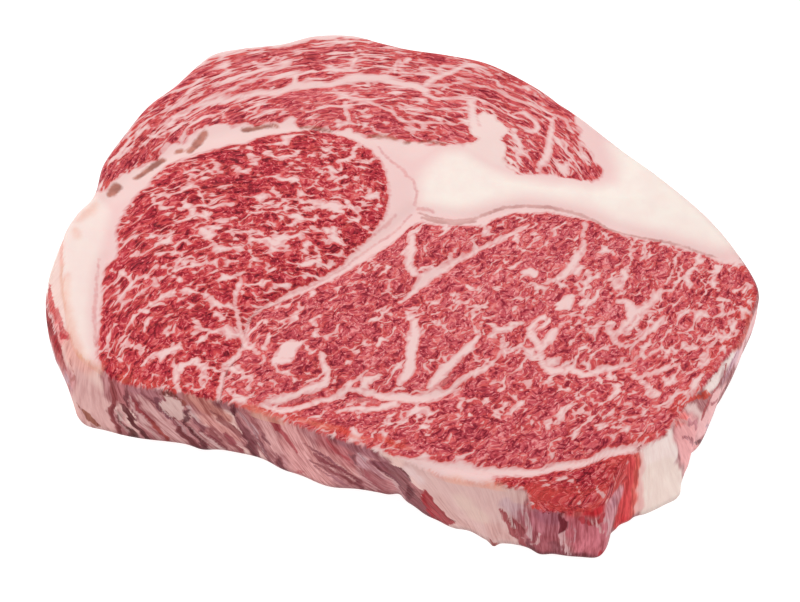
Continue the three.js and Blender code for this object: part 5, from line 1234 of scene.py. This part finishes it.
# Strands are lined with pale film or dark juice, the pale partly a painted highlight on the wet film,
# and bundles part in dark creases here and there, which is painted shade.
for gap, width, tone, low, high, at_low, at_high in (
        ("strand_gap", 0.15, "fine", 0.4, 0.62, -0.22, 0.5),
        ("bundle_gap", 0.07, "patchy", 0.45, 0.6, 0.0, -0.4)):
    line = put("MapRange", {"Value": cell[gap], "From Max": width, "To Min": 1.0, "To Max": 0.0},
               interpolation_type="SMOOTHSTEP")
    strength = put("MapRange", {"Value": noise[tone], "From Min": low, "From Max": high, "To Min": at_low,
                                "To Max": at_high})
    shade = put("Math", {0: line, 1: strength, 2: shade}, operation="MULTIPLY_ADD")
lean, pinker = (linear(hex_colour) for hex_colour in LEAN[0])
for step, (red, pink) in enumerate(LEAN[1:]):
    share = put("MapRange", {"Value": shade, "From Min": SHADE_STEP * step,
                             "From Max": SHADE_STEP * (step + 1)})
    lean = put("Mix", {0: share, MIX_A: lean, MIX_B: linear(red)}, MIX_OUT, data_type="RGBA")
    pinker = put("Mix", {0: share, MIX_A: pinker, MIX_B: linear(pink)}, MIX_OUT, data_type="RGBA")
lean = put("Mix", {0: carried["tone"], MIX_A: lean, MIX_B: pinker}, MIX_OUT, data_type="RGBA")
# It turns warm beside fat, partly its own colour and partly a painted highlight on the wet rim there,
# and bright where air has reached it along the edge.
warm_rim_and_highlight = put("MapRange", {"Value": reach, "From Min": -0.75, "From Max": -0.1, "To Max": 0.62},
           interpolation_type="SMOOTHSTEP")
lean = put("Mix", {0: warm_rim_and_highlight, MIX_A: lean, MIX_B: linear("#D9524C")}, MIX_OUT, data_type="RGBA")
fresh = put("MapRange", {"Value": noise["patchy"], "From Min": 0.4, "From Max": 0.62, "To Min": 0.0,
                         "To Max": 0.55})
fresh = put("Math", {0: fresh, 1: carried["blush"]}, operation="MULTIPLY")
lean = put("Mix", {0: fresh, MIX_A: lean, MIX_B: linear("#DC4E44")}, MIX_OUT, data_type="RGBA")

# Fat is pink where it is thin and paler where it is thick.
thick = put("MapRange", {"Value": reach, "From Min": -0.1, "From Max": 1.1}, interpolation_type="SMOOTHSTEP")
fat_colour = put("Mix", {0: thick, MIX_A: linear("#DD9595"), MIX_B: linear("#EBC6C3")}, MIX_OUT,
                 data_type="RGBA")
cream_share = put("MapRange", {"Value": noise["cloud"], "From Min": 0.3, "From Max": 0.7, "To Min": 0.8,
                               "To Max": 1.05})
cream_share = put("Math", {0: carried["cream"], 1: cream_share}, operation="MULTIPLY", use_clamp=True)
fat_colour = put("Mix", {0: cream_share, MIX_A: fat_colour, MIX_B: linear("#F4E7DE")}, MIX_OUT,
                 data_type="RGBA")
colour = put("Mix", {0: fat_share, MIX_A: lean, MIX_B: fat_colour}, MIX_OUT, data_type="RGBA")

# The wall: painted areas, bands and streaks, frayed along the strands that run down it, which are
# darker and paler by turns.
strand_tone = {}
for name, across_mm, down_mm in (("broad", 2.6, 14.0), ("narrow", 0.8, 7.0), ("hair", 0.45, 4.0)):
    spot = put("VectorMath", {0: strands, 1: (1 / across_mm, 1 / across_mm, 1 / down_mm)},
               operation="MULTIPLY")
    strand_tone[name] = put("TexNoise", {"Vector": spot, "Scale": 1.0, "Detail": 2.0}, "Fac",
                            noise_dimensions="3D")
wall = put("Attribute", {}, "Color", attribute_name="wall_paint")
for name, strength in (("wall_band", 0.92), ("wall_streak", 0.9)):
    frayed = put("Math", {0: strand_tone["narrow"], 1: 1.6, 2: carried[name]}, operation="MULTIPLY_ADD")
    frayed = put("Math", {0: strand_tone["hair"], 1: 1.4, 2: frayed}, operation="MULTIPLY_ADD")
    share = put("MapRange", {"Value": frayed, "From Min": 1.22, "From Max": 1.7, "To Max": strength},
                interpolation_type="SMOOTHSTEP")
    over = put("Attribute", {}, "Color", attribute_name=name + "_paint")
    wall = put("Mix", {0: share, MIX_A: wall, MIX_B: over}, MIX_OUT, data_type="RGBA")

# The strands show most where the wall is lean, which is where it has the least green in it.
wall_green = put("SeparateColor", {0: wall}, "Green")
leanness = put("MapRange", {"Value": wall_green, "From Min": 0.5, "From Max": 0.2, "To Min": 0.12,
                            "To Max": 1.0}, interpolation_type="SMOOTHSTEP")
darker, paler = (put("Mix", {0: 1.0, MIX_A: wall, MIX_B: tint}, MIX_OUT, data_type="RGBA",
                     blend_type="MULTIPLY") for tint in (linear("#BE8E92"), (1.4, 1.65, 1.65, 1)))
for name, low, high, most, tint in (("broad", 0.45, 0.28, 0.7, darker), ("broad", 0.55, 0.72, 0.5, paler),
                                    ("narrow", 0.5, 0.37, 0.6, darker), ("narrow", 0.53, 0.66, 0.5, paler),
                                    ("hair", 0.5, 0.36, 0.35, darker), ("hair", 0.53, 0.66, 0.3, paler)):
    share = put("MapRange", {"Value": strand_tone[name], "From Min": low, "From Max": high, "To Max": most},
                interpolation_type="SMOOTHSTEP")
    share = put("Math", {0: share, 1: leanness}, operation="MULTIPLY")
    wall = put("Mix", {0: share, MIX_A: wall, MIX_B: tint}, MIX_OUT, data_type="RGBA")
torn = put("Math", {0: noise["fibre"], 1: 0.9, 2: carried["aged"]}, operation="MULTIPLY_ADD")
aged_share = put("MapRange", {"Value": torn, "From Min": 0.72, "From Max": 1.18},
                 interpolation_type="SMOOTHSTEP")
colour = put("Mix", {0: aged_share, MIX_A: colour, MIX_B: wall}, MIX_OUT, data_type="RGBA")

# Marks in the fat: stains, juice, skins, threads and cut vessels, each a soft stroke of two tones,
# with how strong it is and how softly it ends.
MARK_LOOKS = {
    "stain": ("#E49C84", "#EDB49E", 0.45, 1.6), "juice": ("#D8452F", "#E0705C", 0.6, 0.8),
    "skin": ("#B4706A", "#CC948E", 0.65, 0.35), "thread": ("#CC6C70", "#DC8A88", 0.5, 0.45),
    "vessel": ("#8C4434", "#B86A58", 0.88, 0.7),
}
for name, (first, second, strength, softness) in MARK_LOOKS.items():
    stroke = put("Math", {0: ragged, 1: 0.2, 2: carried[name]}, operation="MULTIPLY_ADD")
    share = put("MapRange", {"Value": stroke, "From Min": -softness, "From Max": softness * 0.6,
                             "To Max": strength}, interpolation_type="SMOOTHSTEP")
    mark = put("MapRange", {"Value": noise["cloud"], "From Min": 0.4, "From Max": 0.6})
    mark = put("Mix", {0: mark, MIX_A: linear(first), MIX_B: linear(second)}, MIX_OUT, data_type="RGBA")
    colour = put("Mix", {0: share, MIX_A: colour, MIX_B: mark}, MIX_OUT, data_type="RGBA")

# Relief: fat stands a little proud of the lean, whose fibres end in fine grains.
RELIEF = 0.001          # metres from the lowest to the highest of it
grainy = put("Math", {0: bulge, 1: 0.14}, operation="MULTIPLY")
# The same ramp that paints shade into the lean also lifts the bundles here.
for part, weight in ((bundle_rise_and_shade, 0.2), (noise["fibre"], 0.25)):
    grainy = put("Math", {0: part, 1: weight, 2: grainy}, operation="MULTIPLY_ADD")
relief = put("Mix", {"Factor": fat_share, "A": grainy, "B": 0.4}, "Result", data_type="FLOAT")
creases = put("Math", {0: strand_tone["narrow"], 1: 0.3}, operation="MULTIPLY")
creases = put("Math", {0: strand_tone["broad"], 1: 0.4, 2: creases}, operation="MULTIPLY_ADD")
relief = put("Mix", {"Factor": carried["aged"], "A": relief, "B": creases}, "Result", data_type="FLOAT")
bump = put("Bump", {"Height": relief, "Strength": 0.8, "Distance": RELIEF}, "Normal")

# The film of juice is wetter in places, and has dried off the walls.
WET_FLESH_IOR = 1.38
wetness = put("MapRange", {"Value": noise["cloud"], "From Min": 0.3, "From Max": 0.7, "To Min": 0.36,
                           "To Max": 0.56})
sheen = put("MapRange", {"Value": carried["aged"], "To Min": 0.2, "To Max": 0.04})
depth_of_light = put("MapRange", {"Value": carried["aged"], "To Min": 0.1, "To Max": 0.03})
flesh = put("BsdfPrincipled", {
    "Base Color": colour, "Roughness": wetness, "Normal": bump, "IOR": WET_FLESH_IOR,
    "Specular IOR Level": sheen, "Subsurface Weight": depth_of_light,
    "Subsurface Radius": (1.0, 0.35, 0.25), "Subsurface Scale": 0.001,
}, "BSDF")
tree.links.new(flesh, tree.nodes.new("ShaderNodeOutputMaterial").inputs["Surface"])
steak_mesh.materials.append(beef)

# ---------------------------------------------------------------------------------------------
# The table, the light and the camera
# A plain white laminate table top, one wide soft lamp high over its far left corner, and a pale
# room all round. The camera looks down on the steak from the front.

TABLE_SIZE = 3.0
table_mesh = bpy.data.meshes.new("table_top")
bm = bmesh.new()
bmesh.ops.create_grid(bm, x_segments=1, y_segments=1, size=TABLE_SIZE)
bm.to_mesh(table_mesh)
bm.free()
table = bpy.data.objects.new("table_top", table_mesh)
bpy.context.scene.collection.objects.link(table)
laminate = bpy.data.materials.new("white_laminate")     # gives a flat white with only a faint shadow
laminate.use_nodes = True
for socket, value in {"Base Color": linear("#949494"), "Roughness": 0.8, "Emission Color": (1, 1, 1, 1),
                      "Emission Strength": 0.9}.items():
    laminate.node_tree.nodes["Principled BSDF"].inputs[socket].default_value = value
table_mesh.materials.append(laminate)

room = bpy.data.worlds.new("pale_room")
room.use_nodes = True
for socket, value in {"Color": (1, 1, 1, 1), "Strength": 0.7}.items():
    room.node_tree.nodes["Background"].inputs[socket].default_value = value
bpy.context.scene.world = room

LAMP_PLACE = Vector((-0.35, 0.45, 1.1))
LAMP_WIDTH, LAMP_POWER = 1.2, 7.5
lamp = bpy.data.lights.new("soft_lamp", "AREA")
lamp.shape = "DISK"
lamp.size = LAMP_WIDTH
lamp.energy = LAMP_POWER
lamp_object = bpy.data.objects.new("soft_lamp", lamp)
lamp_object.location = LAMP_PLACE
lamp_object.rotation_euler = (-LAMP_PLACE).to_track_quat("-Z", "Y").to_euler()
bpy.context.scene.collection.objects.link(lamp_object)

LOOK_DOWN = math.radians(50)    # the camera's height above the table, as an angle
CAMERA_DISTANCE = 0.505
CAMERA_LENS = 85
CAMERA_TARGET = Vector((0.00057, -0.01098, 0.013))     # the middle of the slice's drawing
back = Vector((0, -math.cos(LOOK_DOWN), math.sin(LOOK_DOWN)))
camera = bpy.data.cameras.new("camera")
camera.lens = CAMERA_LENS
camera_object = bpy.data.objects.new("camera", camera)
camera_object.location = CAMERA_TARGET + CAMERA_DISTANCE * back
camera_object.rotation_euler = (-back).to_track_quat("-Z", "Y").to_euler()
bpy.context.scene.collection.objects.link(camera_object)
bpy.context.scene.camera = camera_object
bpy.context.scene.view_settings.view_transform = "Standard"
